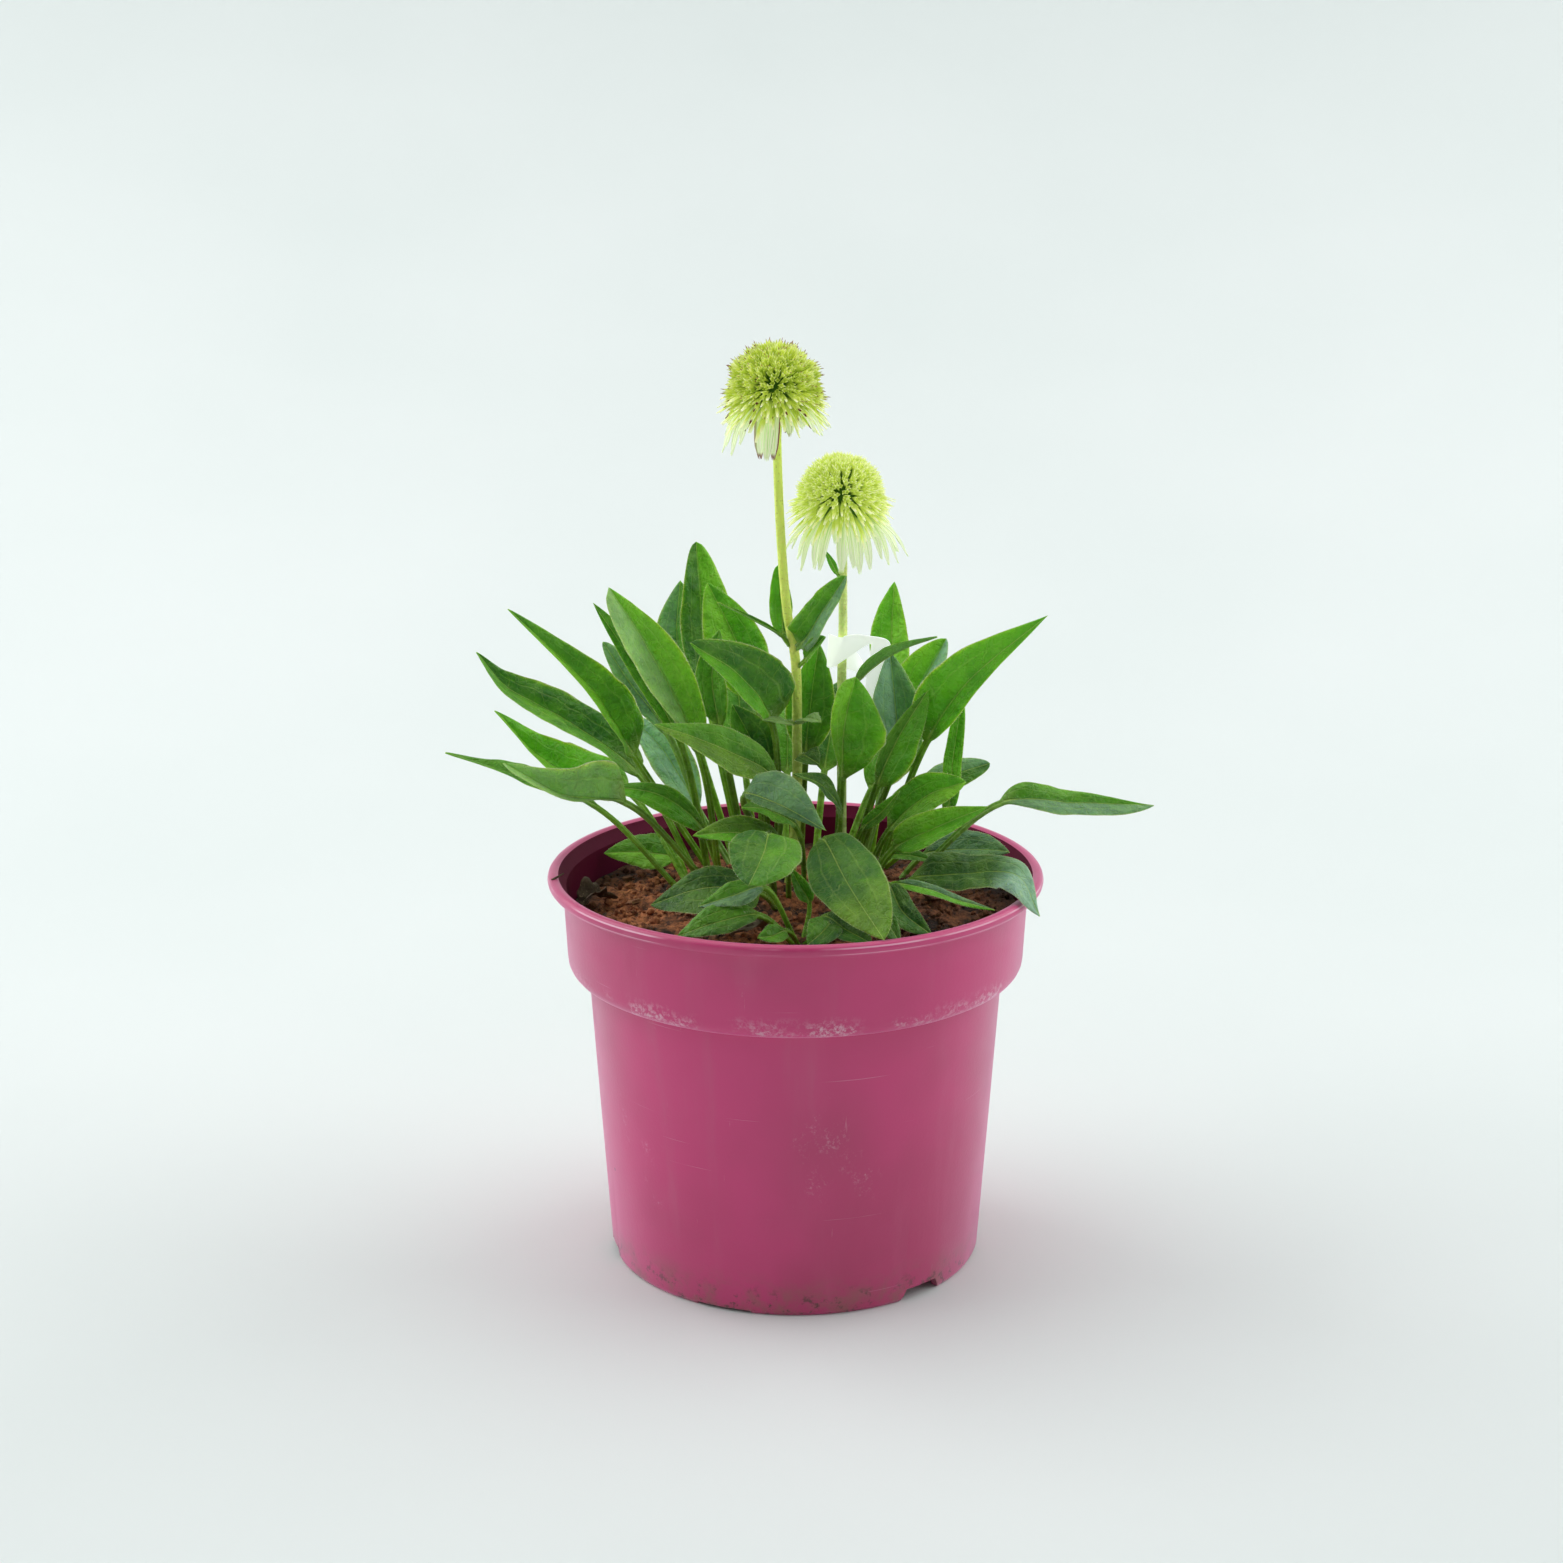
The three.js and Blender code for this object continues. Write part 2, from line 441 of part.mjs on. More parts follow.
// Flowering stems from the root up, and the small leaves that clasp each of them
const STEMS = {
  stem_1: {
    points: [[-3, 6, 137], [0.4, 4, 175], [0.6, 4, 205], [0, 4, 234], [-3.3, 4, 254], [-6, 4, 290], [-7.4, 4, 332]],
    radii: [2, 1.6],
    leaves: [
      [[[-1.2, 4, 239], [-5, 2, 244], [-16, -5, 252], [-29, -12, 260]], 7, [2, -6, 8], 40, 0],
      [[[-2.2, 4.6, 247], [-4.2, 9, 252], [-6, 12, 259], [-8, 13, 270]], 12, [1, -9, 1], 20, 0],
      [[[-0.8, 4.2, 238.5], [3, -1, 243], [10, -7, 255], [18, -12, 270]], 12, [-4, -8, 3], 25, 1],
      [[[0.2, 4.2, 231], [3.4, 0.6, 235], [7, -4, 241], [11, -8, 246]], 7, [-3, -7, 5], 30, 0],
      [[[0.2, 4.3, 202], [-2.4, -2, 207], [-7, -10, 213], [-13, -15, 216]], 8, [0, -3, 9], 15, 0],
      [[[0.8, 4.4, 211], [3.4, 0, 213], [6, -4, 215], [10, -9, 214]], 8, [0, -3, 9], 15, 0],
      [[[0.9, 4.2, 195], [3, 0, 198], [5, -3, 198], [9, -6, 196]], 11, [0, -5, 8], 15, 0],
    ],
  },
  stem_2: {
    points: [[18, 16, 137], [18, 16, 180], [17.8, 16, 225], [18.1, 16, 244], [18, 16, 266], [18.4, 16, 288.1]],
    radii: [1.9, 1.5],
    leaves: [
      [[[18, 16, 262], [16, 14.6, 265], [13.5, 13, 270], [11, 12, 275]], 3, [2, -8, 3], 10, 0],
      [[[17.8, 16, 220], [23, 10, 225], [36, 3, 237], [53, -3, 245]], 9, [3, 2, 8], 20, 0],
    ],
  },
};

// Blooms: middle of the dome, and the rays [azimuth from the front towards +X, reach, drop, width]
const BLOOMS = {
  bloom_1: {
    centre: [-7.4, 4, 339.3],
    stem: 'stem_1',
    rays: [
      [-78, 19, 22, 3.4], [-62, 19.5, 25, 3.6], [-46, 19, 21, 3.2], [-14, 16, 26, 4.2], [3, 15.5, 24.5, 4],
      [38, 19, 17, 3], [56, 20, 19, 3.2], [72, 20.5, 15.5, 3], [92, 19, 16, 3.2], [116, 17, 16, 3.4],
      [140, 17, 18, 3.4], [163, 18.5, 21, 3.2], [186, 19, 24, 3.4], [208, 19, 21, 3.4], [232, 19, 24, 3.2],
      [255, 19.5, 20, 3.4],
    ],
  },
  bloom_2: {
    centre: [18.4, 16, 295.4],
    stem: 'stem_2',
    rays: [
      [-84, 20, 22, 2.8], [-68, 19, 24, 2.6], [-53, 19.5, 26.5, 2.8], [-38, 18, 23, 2.6], [-20, 17, 24.5, 2.8],
      [-5, 16, 25.5, 3], [9, 17, 24.5, 2.8], [25, 17.5, 23, 2.6], [40, 19, 20, 2.6], [55, 20, 24, 2.8],
      [69, 21, 20, 2.6], [84, 21, 18, 2.6], [102, 20, 22, 2.8], [121, 19, 25, 2.8], [140, 19, 23, 2.6],
      [160, 18.5, 25.5, 2.8], [180, 18, 24, 2.6], [200, 18.5, 25, 2.8], [220, 19, 22, 2.8], [240, 19.5, 25, 2.6],
      [258, 20, 21, 2.8],
    ],
  },
};

// Dry fallen leaves: [x, y, height above the soil] from end to end, and the width
const DEAD_LEAVES = {
  dead_leaf_1: [[[-66, 14, 2], [-70, 12, 3.5], [-76, 9, 5], [-82, 5, 2.5]], 10],
  dead_leaf_2: [[[-24, -44, 1.5], [-20, -43, 2.5], [-14, -41, 2.5], [-7, -39, 1.5]], 9],
};

const object = new THREE.Group();
const holes = [];

for (const [name, ...shape] of LEAVES) {
  object.add(toMesh(`leaf_${name}`, leafSolid(...shape), material(COLOURS.leaf)));
  holes.push(petioleHole(...shape));
}
for (const [name, shapes] of Object.entries(SHOOTS)) {
  object.add(toMesh(name, join(shapes.map((shape) => leafSolid(...shape))), material(COLOURS.darkLeaf)));
  for (const shape of shapes) holes.push(petioleHole(...shape));
}
for (const [name, { points, radii, leaves }] of Object.entries(STEMS)) {
  const stem = skin(stemRings(points, ...radii));
  object.add(toMesh(name, join([stem, ...leaves.map((shape) => leafSolid(...shape))]), material(COLOURS.stem)));
  const wide = radii[0] + 1.5 * CLEARANCE;
  const [low, high] = stemRings(points, wide, wide);
  for (const point of low) point.z -= CLEARANCE;
  holes.push(skin([low, high]));
}
for (const [name, { centre, stem, rays }] of Object.entries(BLOOMS)) {
  object.add(toMesh(`${name}_disc`, domeSolid(centre), material(COLOURS.floret)));
  object.add(toMesh(`${name}_rays`, raysSolid(centre, rays, STEMS[stem].radii[1]), material(COLOURS.ray)));
}
for (const [name, [points, width]] of Object.entries(DEAD_LEAVES)) {
  const rib = points.map(([x, y, above]) => [x, y, soilHeight(x, y) + above]);
  object.add(toMesh(name, leafSolid(rib, width, [0, 0, 1], -25, 0), material(COLOURS.dryLeaf)));
}
object.add(toMesh('label', labelSolid(), material(COLOURS.label, 0.4)));
object.add(toMesh('soil', soilSolid(holes), material(COLOURS.soil, 0.95)));
object.add(toMesh('pot', potSolid(), material(COLOURS.pot, 0.4)));

export default object;
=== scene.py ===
import math
import random
from functools import reduce

import bpy
import numpy as np
from mathutils import Matrix, Vector, noise


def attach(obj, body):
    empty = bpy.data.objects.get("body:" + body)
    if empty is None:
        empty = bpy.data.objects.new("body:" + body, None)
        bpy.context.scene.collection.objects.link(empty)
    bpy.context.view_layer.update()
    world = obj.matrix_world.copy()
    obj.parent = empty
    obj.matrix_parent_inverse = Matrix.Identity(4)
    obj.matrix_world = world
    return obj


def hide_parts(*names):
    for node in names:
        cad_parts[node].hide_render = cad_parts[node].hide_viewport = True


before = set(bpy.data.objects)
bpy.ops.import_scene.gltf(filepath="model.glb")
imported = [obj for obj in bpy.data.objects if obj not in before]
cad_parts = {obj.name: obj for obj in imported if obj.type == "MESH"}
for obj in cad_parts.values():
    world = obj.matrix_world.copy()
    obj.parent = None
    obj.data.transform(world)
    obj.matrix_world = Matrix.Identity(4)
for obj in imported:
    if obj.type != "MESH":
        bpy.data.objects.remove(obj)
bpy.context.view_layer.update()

# Camera, light and floor: the photograph's own viewing angle, soft white light mostly from both
# sides and from above, and a white sweep that curves up on every side.
MM = 0.001
# The camera looks down by so many degrees; the floor is flat within a reach and then curves up.
LOOKS_DOWN = 15.58
FLAT_REACH = 390
SWEEP_RADIUS = 2200


def select_only(piece):
    bpy.ops.object.select_all(action="DESELECT")
    piece.select_set(True)
    bpy.context.view_layer.objects.active = piece


def spun(name, profile, sides, last_closed=True):
    """A body of revolution: a filled circle, extruded ring by ring along [radius, height] in mm."""
    radius, height = profile[0]
    bpy.ops.mesh.primitive_circle_add(vertices=sides, radius=radius * MM, fill_type="NGON")
    body = bpy.context.object
    body.name = name
    bpy.ops.object.mode_set(mode="EDIT")
    bpy.ops.transform.translate(value=(0, 0, height * MM))
    for next_radius, next_height in profile[1:]:
        up = (0, 0, (next_height - height) * MM)
        bpy.ops.mesh.extrude_edges_move(TRANSFORM_OT_translate={"value": up})
        wider = next_radius / radius
        bpy.ops.transform.resize(value=(wider, wider, 1), center_override=(0, 0, 0))
        radius, height = next_radius, next_height
    if last_closed:
        bpy.ops.mesh.edge_face_add()
    bpy.ops.mesh.select_all(action="SELECT")
    bpy.ops.mesh.normals_make_consistent(inside=not last_closed)
    bpy.ops.object.mode_set(mode="OBJECT")
    return body


def srgb(red, green, blue):
    """A colour as it is seen, 0 to 255, as the linear numbers that a material takes."""
    linear = [((c / 255 + 0.055) / 1.055) ** 2.4 if c > 10 else c / 255 / 12.92 for c in (red, green, blue)]
    return (*linear, 1.0)


class Finish:
    """A procedural material. Each method adds its nodes and returns the last one's output."""

    def __init__(self, name, **sockets):
        self.material = bpy.data.materials.new(name)
        self.material.use_nodes = True
        self.tree = self.material.node_tree
        self.shader = self.tree.nodes["Principled BSDF"]
        for socket, value in sockets.items():
            self.shader.inputs[socket.replace("_", " ")].default_value = value

    def node(self, kind, inputs, out=0, **settings):
        """Adds a node; each input is a number, a colour or another node's output."""
        made = self.tree.nodes.new(kind)
        for setting, value in settings.items():
            setattr(made, setting, value)
        for socket, value in inputs.items():
            if isinstance(value, bpy.types.NodeSocket):
                self.tree.links.new(value, made.inputs[socket])
            else:
                made.inputs[socket].default_value = value
        return made.outputs[out]

    def wire(self, socket, output):
        self.tree.links.new(output, self.shader.inputs[socket])

    def stretched(self, vector, scale, turn=(0, 0, 0)):
        return self.node("ShaderNodeMapping", {"Vector": vector, "Scale": scale, "Rotation": turn})

    def place(self, scale=(1, 1, 1), turn=(0, 0, 0)):
        return self.stretched(self.node("ShaderNodeTexCoord", {}, "Object"), scale, turn)

    def attribute(self, name, out="Vector"):
        return self.node("ShaderNodeAttribute", {}, out, attribute_name=name)

    def part(self, vector, axis):
        return self.node("ShaderNodeSeparateXYZ", {0: vector}, axis)

    def math(self, operation, *values):
        return self.node("ShaderNodeMath", dict(enumerate(values)), operation=operation)

    def plus(self, *values):
        return reduce(lambda a, b: self.math("ADD", a, b), values)

    def times(self, *values):
        return reduce(lambda a, b: self.math("MULTIPLY", a, b), values)

    def most(self, *values):
        return reduce(lambda a, b: self.math("MAXIMUM", a, b), values)

    def away(self, value, middle):
        """How far a value is from a middle one."""
        return self.math("ABSOLUTE", self.math("SUBTRACT", value, middle))

    def from_axis(self, spot):
        """How far a place is from the pot's upright axis."""
        squares = [self.math("POWER", self.part(spot, axis), 2.0) for axis in range(2)]
        return self.math("POWER", self.plus(*squares), 0.5)

    def band(self, value, low, high):
        """0 below low, 1 above high and smooth between; the other way round where low is more than high."""
        ends = {"Value": value, "From Min": low, "From Max": high}
        return self.node("ShaderNodeMapRange", ends, interpolation_type="SMOOTHSTEP")

    def noise(self, vector, scale, detail=3.0, rough=0.5):
        values = {"Vector": vector, "Scale": scale, "Detail": detail, "Roughness": rough}
        return self.node("ShaderNodeTexNoise", values)

    def patches(self, low, high, *noise):
        """Patches of noise: 0 where it is below low and 1 where it is above high."""
        return self.band(self.noise(*noise), low, high)

    def cells(self, vector, scale, feature="F1"):
        spacing = {"Vector": vector, "Scale": scale}
        return self.node("ShaderNodeTexVoronoi", spacing, "Distance", feature=feature)

    def mix(self, share, a, b):
        return self.node("ShaderNodeMix", {0: share, 6: a, 7: b}, 2, data_type="RGBA")

    def bump(self, height, strength, distance):
        values = {"Height": height, "Strength": strength, "Distance": distance}
        self.wire("Normal", self.node("ShaderNodeBump", values))


def shade(piece, degrees=40):
    select_only(piece)
    bpy.ops.object.shade_smooth_by_angle(angle=math.radians(degrees))


def keep(piece, finish, slot, *nodes):
    """Gives a finished piece its material and its body, and hides the node it stands for. Its slot is not
    used.
    """
    for one in finish if isinstance(finish, list) else [finish]:
        piece.data.materials.append(one.material)
    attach(piece, "root")
    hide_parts(*nodes)


bpy.context.scene.view_settings.view_transform = "Standard"
camera_turn = (math.radians(90 - LOOKS_DOWN), 0, 0)
bpy.ops.object.camera_add(location=(-0.00534, -1.0598, 0.4833), rotation=camera_turn)
camera = bpy.context.object
camera.data.lens = 66.53
camera.data.sensor_width = 36
bpy.context.scene.camera = camera

world = bpy.data.worlds.new("white_room")
bpy.context.scene.world = world
world.use_nodes = True
background = world.node_tree.nodes["Background"]
background.inputs["Color"].default_value = (0.97, 0.985, 0.99, 1)
background.inputs["Strength"].default_value = 0.37
# Place and size in metres and power in watts of the three soft boxes: left, right and above.
LIGHTS = [((-1.6, 0.4, 0.9), 2.1, 28), ((1.6, 0.4, 0.9), 2.1, 27), ((-0.2, 0.5, 2.0), 2.2, 18)]
for place, size, power in LIGHTS:
    aim = (Vector((0, 0, 0.16)) - Vector(place)).to_track_quat("-Z", "Y").to_euler()
    bpy.ops.object.light_add(type="AREA", location=place, rotation=aim)
    bpy.context.object.data.size = size
    bpy.context.object.data.energy = power
    bpy.context.object.visible_camera = False

sweep = []
for degrees in range(0, 95, 5):
    turn = math.radians(degrees)
    sweep.append((FLAT_REACH + SWEEP_RADIUS * math.sin(turn), SWEEP_RADIUS * (1 - math.cos(turn))))
floor = spun("floor", sweep, 96, last_closed=False)
shade(floor)
cloth = Finish("white_cloth", Roughness=0.75)
soft_cloud = cloth.noise(cloth.place(), 3.0, 2.0)
pale_cloth = cloth.mix(soft_cloud, srgb(214, 222, 220), srgb(225, 230, 229))
behind_camera = cloth.band(cloth.part(cloth.place(), 1), -1.2, -1.9)
cloth.wire("Base Color", cloth.mix(behind_camera, pale_cloth, srgb(112, 116, 118)))
floor.data.materials.append(cloth.material)

# Pot: one polypropylene moulding, magenta all through, with a rolled lip, a deep collar for lifting,
# a plate with drain holes above the foot, and notches that let the water out from under it.
# Handled and watered: scuffed white along the collar's edge, soil-stained at the foot.
POT_PROFILE = [
    (68.4, 5), (68.4, 0.3), (68.7, 0), (70.9, 0), (71.5, 0.6), (72.2, 2), (76, 57), (79.75, 113.2),
    (79.95, 114.4), (80.6, 115.2), (82.6, 115.4), (84.6, 115.65), (85.9, 116.4), (86.9, 117.6), (87.5, 119),
    (87.75, 121), (88.5, 135), (89.15, 148), (89.5, 148.8), (90.2, 149.1), (93, 149.05), (94.1, 149.4),
    (94.8, 150.3), (95, 151.3), (94.8, 152.3), (94.2, 153.1), (93.2, 153.5), (91.9, 153.45), (90.9, 152.9),
    (90.2, 151.6), (89, 149.8), (87.9, 148.4), (87.2, 135), (86.3, 121), (85.6, 118.8), (83.6, 117.2),
    (80, 116.6), (78.6, 115.6), (78.3, 114), (74.6, 57), (70.8, 7.2), (70.2, 6.5),
]
# Height, slant of the ends, half of the breadth in mm and bearing of the first of three notches.
DEEP_NOTCH = (4.8, 3, 10.5, 41.5)
SHALLOW_NOTCH = (1.2, 0.8, 11.5, -22.3)
NOTCH_REACH = 70
NOTCH_DEPTH = 16
DRAINS = 6
DRAIN_REACH = 52
PLATE_MIDDLE = 5.8

pot = spun("pot_shell", POT_PROFILE, 144)
cutters = []
for k in range(3):
    for high, slant, half, bearing in (DEEP_NOTCH, SHALLOW_NOTCH):
        bpy.ops.mesh.primitive_cube_add(size=1)
        notch = bpy.context.object
        for corner in notch.data.vertices:
            top = corner.co.z > 0
            across = (half - slant if top else half) * (1 if corner.co.x > 0 else -1)
            depth = NOTCH_DEPTH * corner.co.y - NOTCH_REACH
            corner.co = (across * MM, depth * MM, (high if top else -1) * MM)
        notch.data.transform(Matrix.Rotation(math.radians(bearing + 120 * k), 4, "Z"))
        cutters.append(notch)
for k in range(DRAINS):
    bpy.ops.mesh.primitive_cylinder_add(vertices=32, radius=4.5 * MM, depth=6 * MM)
    drain = bpy.context.object
    drain.data.transform(Matrix.Translation((DRAIN_REACH * MM, 0, PLATE_MIDDLE * MM)))
    drain.data.transform(Matrix.Rotation(math.radians(360 / DRAINS * k + 10), 4, "Z"))
    cutters.append(drain)
for cutter in cutters:
    cutter.select_set(True)
bpy.ops.object.join()
cutter = bpy.context.object
select_only(pot)
bpy.ops.object.modifier_add(type="BOOLEAN")
pot.modifiers[0].object = cutter
pot.modifiers[0].operation = "DIFFERENCE"
bpy.ops.object.modifier_apply(modifier=pot.modifiers[0].name)
bpy.data.objects.remove(cutter)
shade(pot, 32)

plastic = Finish("magenta_polypropylene", Specular_IOR_Level=0.5, Sheen_Weight=0.7, Sheen_Roughness=0.4,
                 Sheen_Tint=(1, 0.45, 0.72, 1))
spot = plastic.place()
height = plastic.part(spot, 2)
radial = plastic.from_axis(spot)
colour = plastic.mix(plastic.patches(0.35, 0.68, spot, 11.0), srgb(200, 57, 116), srgb(178, 55, 101))
drawn_down = plastic.patches(0.5, 0.9, plastic.place((60, 60, 8)), 1.0, 4.0)
colour = plastic.mix(drawn_down, colour, srgb(192, 84, 122))
foot_stain = plastic.times(plastic.band(height, 0.02, 0.002),
                           plastic.patches(0.4, 0.62, spot, 70.0, 5.0, 0.65))
colour = plastic.mix(plastic.times(foot_stain, 0.8), colour, srgb(146, 88, 88))
dirt = plastic.times(plastic.band(height, 0.014, 0.003), plastic.patches(0.54, 0.66, spot, 240.0, 4.0, 0.7))
colour = plastic.mix(dirt, colour, srgb(74, 56, 46))
edge_zone = plastic.times(plastic.band(height, 0.1148, 0.1165), plastic.band(height, 0.1255, 0.117),
                          plastic.band(radial, 0.0815, 0.0845))
lime_grain = plastic.patches(0.45, 0.62, spot, 520.0, 6.0, 0.75)
lime_patch = plastic.patches(0.42, 0.6, spot, 26.0, 4.0, 0.6)
lime_scale = plastic.times(edge_zone, lime_grain, lime_patch)
hand_marks = plastic.patches(0.6, 0.74, plastic.place((1, 1, 0.6), (0.2, 0.3, 0)), 34.0, 6.0, 0.7)
handled = plastic.times(hand_marks, plastic.patches(0.5, 0.7, spot, 600.0, 6.0, 0.8))
scratch = plastic.patches(0.7, 0.76, plastic.place((18, 18, 1500), (0.12, 0.05, 0)), 1.0, 5.0)
nick = plastic.patches(0.72, 0.78, plastic.place((700, 700, 26), (0.05, 0.2, 0)), 1.0, 4.0)
pale = plastic.most(plastic.times(lime_scale, 0.85), plastic.times(handled, 0.5),
                    plastic.times(scratch, 0.28), plastic.times(nick, 0.22))
colour = plastic.mix(pale, colour, srgb(228, 200, 212))
# Painted highlights: two thin pale lines along the rolled lip, broken here and there round the rim, stand in
# for the glints of light on it.
on_lip = plastic.band(radial, 0.0932, 0.094)
lip_highlight = plastic.times(on_lip, plastic.band(plastic.away(height, 0.1524), 0.0004, 0.0001))
low_lip_highlight = plastic.times(on_lip, plastic.band(plastic.away(height, 0.1502), 0.0003, 0.0001))
highlight_breaks = plastic.patches(0.42, 0.62, plastic.place((1, 1, 0.2)), 22.0)
lip_highlight = plastic.times(plastic.most(lip_highlight, plastic.times(low_lip_highlight, 0.7)), highlight_breaks)
colour = plastic.mix(plastic.times(lip_highlight, 0.6), colour, srgb(250, 204, 224))
speck = plastic.times(plastic.band(plastic.cells(spot, 55.0), 0.045, 0.03),
                      plastic.patches(0.55, 0.6, spot, 24.0, 1.0))
colour = plastic.mix(plastic.times(speck, 0.85), colour, srgb(58, 30, 38))
plastic.wire("Base Color", colour)
worn = plastic.plus(plastic.times(plastic.noise(spot, 90.0, 4.0), 0.16), 0.24)
plastic.wire("Roughness", plastic.plus(worn, plastic.times(pale, 0.4)))
dents = plastic.math("SUBTRACT", plastic.noise(spot, 30.0, 2.0), plastic.times(scratch, 0.3))
plastic.bump(plastic.plus(plastic.times(plastic.noise(spot, 800.0), 0.25), dents), 0.18, 0.0008)

# Painted shade: the inside is the same plastic painted a darker maroon for the shade within the pot, and
# darker still below a wavering line just under the lip. The grime is real dirt.
inside_painted_shade = Finish("pot_inside_painted_shade", Roughness=0.65, Specular_IOR_Level=0.12)
spot = inside_painted_shade.place()
height = inside_painted_shade.part(spot, 2)
shade_line = inside_painted_shade.plus(height, inside_painted_shade.times(inside_painted_shade.noise(spot, 40.0, 4.0), 0.012))
colour = inside_painted_shade.mix(inside_painted_shade.band(shade_line, 0.16, 0.164), srgb(100, 10, 50), srgb(170, 44, 98))
grime = inside_painted_shade.times(inside_painted_shade.patches(0.48, 0.75, spot, 160.0, 5.0, 0.7), inside_painted_shade.band(height, 0.15, 0.138))
inside_painted_shade.wire("Base Color", inside_painted_shade.mix(inside_painted_shade.times(grime, 0.3), colour, srgb(58, 20, 28)))
inside_painted_shade.bump(inside_painted_shade.noise(spot, 300.0, 4.0), 0.2, 0.0006)

# The darker inside, painted shade, covers the walls that face the axis, under the lip's top, and the plate's
# upper side.
keep(pot, [plastic, inside_painted_shade], "pot", "pot")
PLATE_TOP = 0.0062
PLATE_RADIUS = 0.0712
LIP_EDGE = 0.1527
for face in pot.data.polygons:
    out = Vector((face.center.x, face.center.y, 0)).normalized()
    wall_inside = face.normal.dot(out) < -0.25 and face.center.z < LIP_EDGE
    over_plate = out.dot(face.center) < PLATE_RADIUS
    face.material_index = int(face.center.z > PLATE_TOP and (wall_inside or over_plate))

# Soil: a root ball of coconut fibre and bark, filled to a thumb below the lip and heaped at the crown.
# The clods are the ball's own surface; loose crumbs, bark chips and fibres lie on it.
random.seed(7)


def soil_height(x, y):
    """Height of the soil in mm over a place in mm, as in the solid."""
    mound = 9 * math.exp(-(x * x + y * y) / 48 ** 2)
    return 137 + mound + 0.7 * math.sin(0.21 * x + 1.3) * math.cos(0.19 * y) + 0.5 * math.sin(0.37 * y)


def clods(x, y):
    """Lumps of the soil's surface over and under that height, in mm."""
    place = Vector((x, y, 0))
    lumps = 1.3 * noise.noise(place * 0.11) + 1.1 * abs(noise.noise(place * 0.3))
    return lumps + 0.9 * noise.fractal(place * 0.5, 0.7, 2.2, 4) - 0.6


def on_soil(reach):
    """A random place at a reach from the axis, with the height of the surface there, in mm."""
    angle = random.uniform(0, 2 * math.pi)
    x, y = reach * math.cos(angle), reach * math.sin(angle)
    return x, y, soil_height(x, y) + clods(x, y)


def added(name, mesh):
    piece = bpy.data.objects.new(name, mesh)
    bpy.context.collection.objects.link(piece)
    return piece


def write(mesh, name, kind, values):
    field = {"FLOAT": "value", "FLOAT_VECTOR": "vector", "FLOAT_COLOR": "color"}[kind]
    mesh.attributes.new(name, kind, "POINT").data.foreach_set(field, np.ravel(values))


def scatter(name, pattern, frames, seeds):
    """One mesh of many copies of a pattern, each in its own frame, with a number of its own."""
    count = len(pattern.vertices)
    corners = np.ones((count, 4))
    for vertex in pattern.vertices:
        corners[vertex.index, :3] = vertex.co
    every = np.concatenate([(corners @ np.array(where).T)[:, :3] for where in frames])
    faces = [[k * count + v for v in face.vertices] for k in range(len(frames)) for face in pattern.polygons]
    mesh = bpy.data.meshes.new(name)
    mesh.from_pydata(every.tolist(), [], faces)
    write(mesh, "share", "FLOAT", np.tile(corners[:, 2] / corners[:, 2].max(), len(frames)))
    write(mesh, "seed", "FLOAT", np.repeat(seeds, count))
    return added(name, mesh)


def frame_at(place, direction, size, spin=0.0):
    """A frame whose Z runs along a direction, at a place in mm, with a size for each of its axes in mm."""
    turn = Vector(direction).to_track_quat("Z", "Y").to_matrix().to_4x4() @ Matrix.Rotation(spin, 4, "Z")
    return Matrix.Translation(Vector(place) * MM) @ turn @ Matrix.Diagonal((*[s * MM for s in size], 1))


def cut_edges(cuts):
    """Cuts every edge of the object that was added last."""
    bpy.ops.object.mode_set(mode="EDIT")
    bpy.ops.mesh.select_all(action="SELECT")
    bpy.ops.mesh.subdivide(number_cuts=cuts)
    bpy.ops.object.mode_set(mode="OBJECT")


def joined(first, *others):
    select_only(first)
    for other in others:
        other.select_set(True)
    bpy.ops.object.join()
    return first


# What lies higher than SURFACE, in metres, is the ball's open surface.
SURFACE = 0.1355
CRUMBS = 1500
CHIPS = 70
FIBRES = 330
ball_side = [(68, 6.8), (70.1, 7.6), (77.7, 116.2), (85.6, 122.5), (86.5, 134)]
soil = spun("soil_ball", ball_side + [(86.4 - 1.46 * k, 137) for k in range(59)], 216)
for corner in soil.data.vertices:
    if corner.co.z > SURFACE:
        x, y = corner.co.x / MM, corner.co.y / MM
        rim = min(1, (86.8 - math.hypot(x, y)) / 3)
        corner.co.z = (soil_height(x, y) + clods(x, y) * rim) * MM
shade(soil, 60)

bpy.ops.mesh.primitive_ico_sphere_add(subdivisions=1, radius=1)
crumb = bpy.context.object
for corner in crumb.data.vertices:
    corner.co *= 1 + 0.45 * noise.noise(corner.co * 1.7)
bpy.ops.mesh.primitive_cube_add(size=1)
chip = bpy.context.object
cut_edges(2)
for corner in chip.data.vertices:
    worn = 1 + 0.5 * noise.noise(corner.co * 2.3 + Vector((3, 1, 0)))
    corner.co = corner.co * worn + Vector((0, 0, 0.5))
bpy.ops.mesh.primitive_cone_add(vertices=3, radius1=1, radius2=0.4, depth=1, location=(0, 0, 0))
fibre = bpy.context.object
cut_edges(3)
for corner in fibre.data.vertices:
    corner.co.z += 0.5
    corner.co.x += 2.5 * math.sin(3 * corner.co.z)

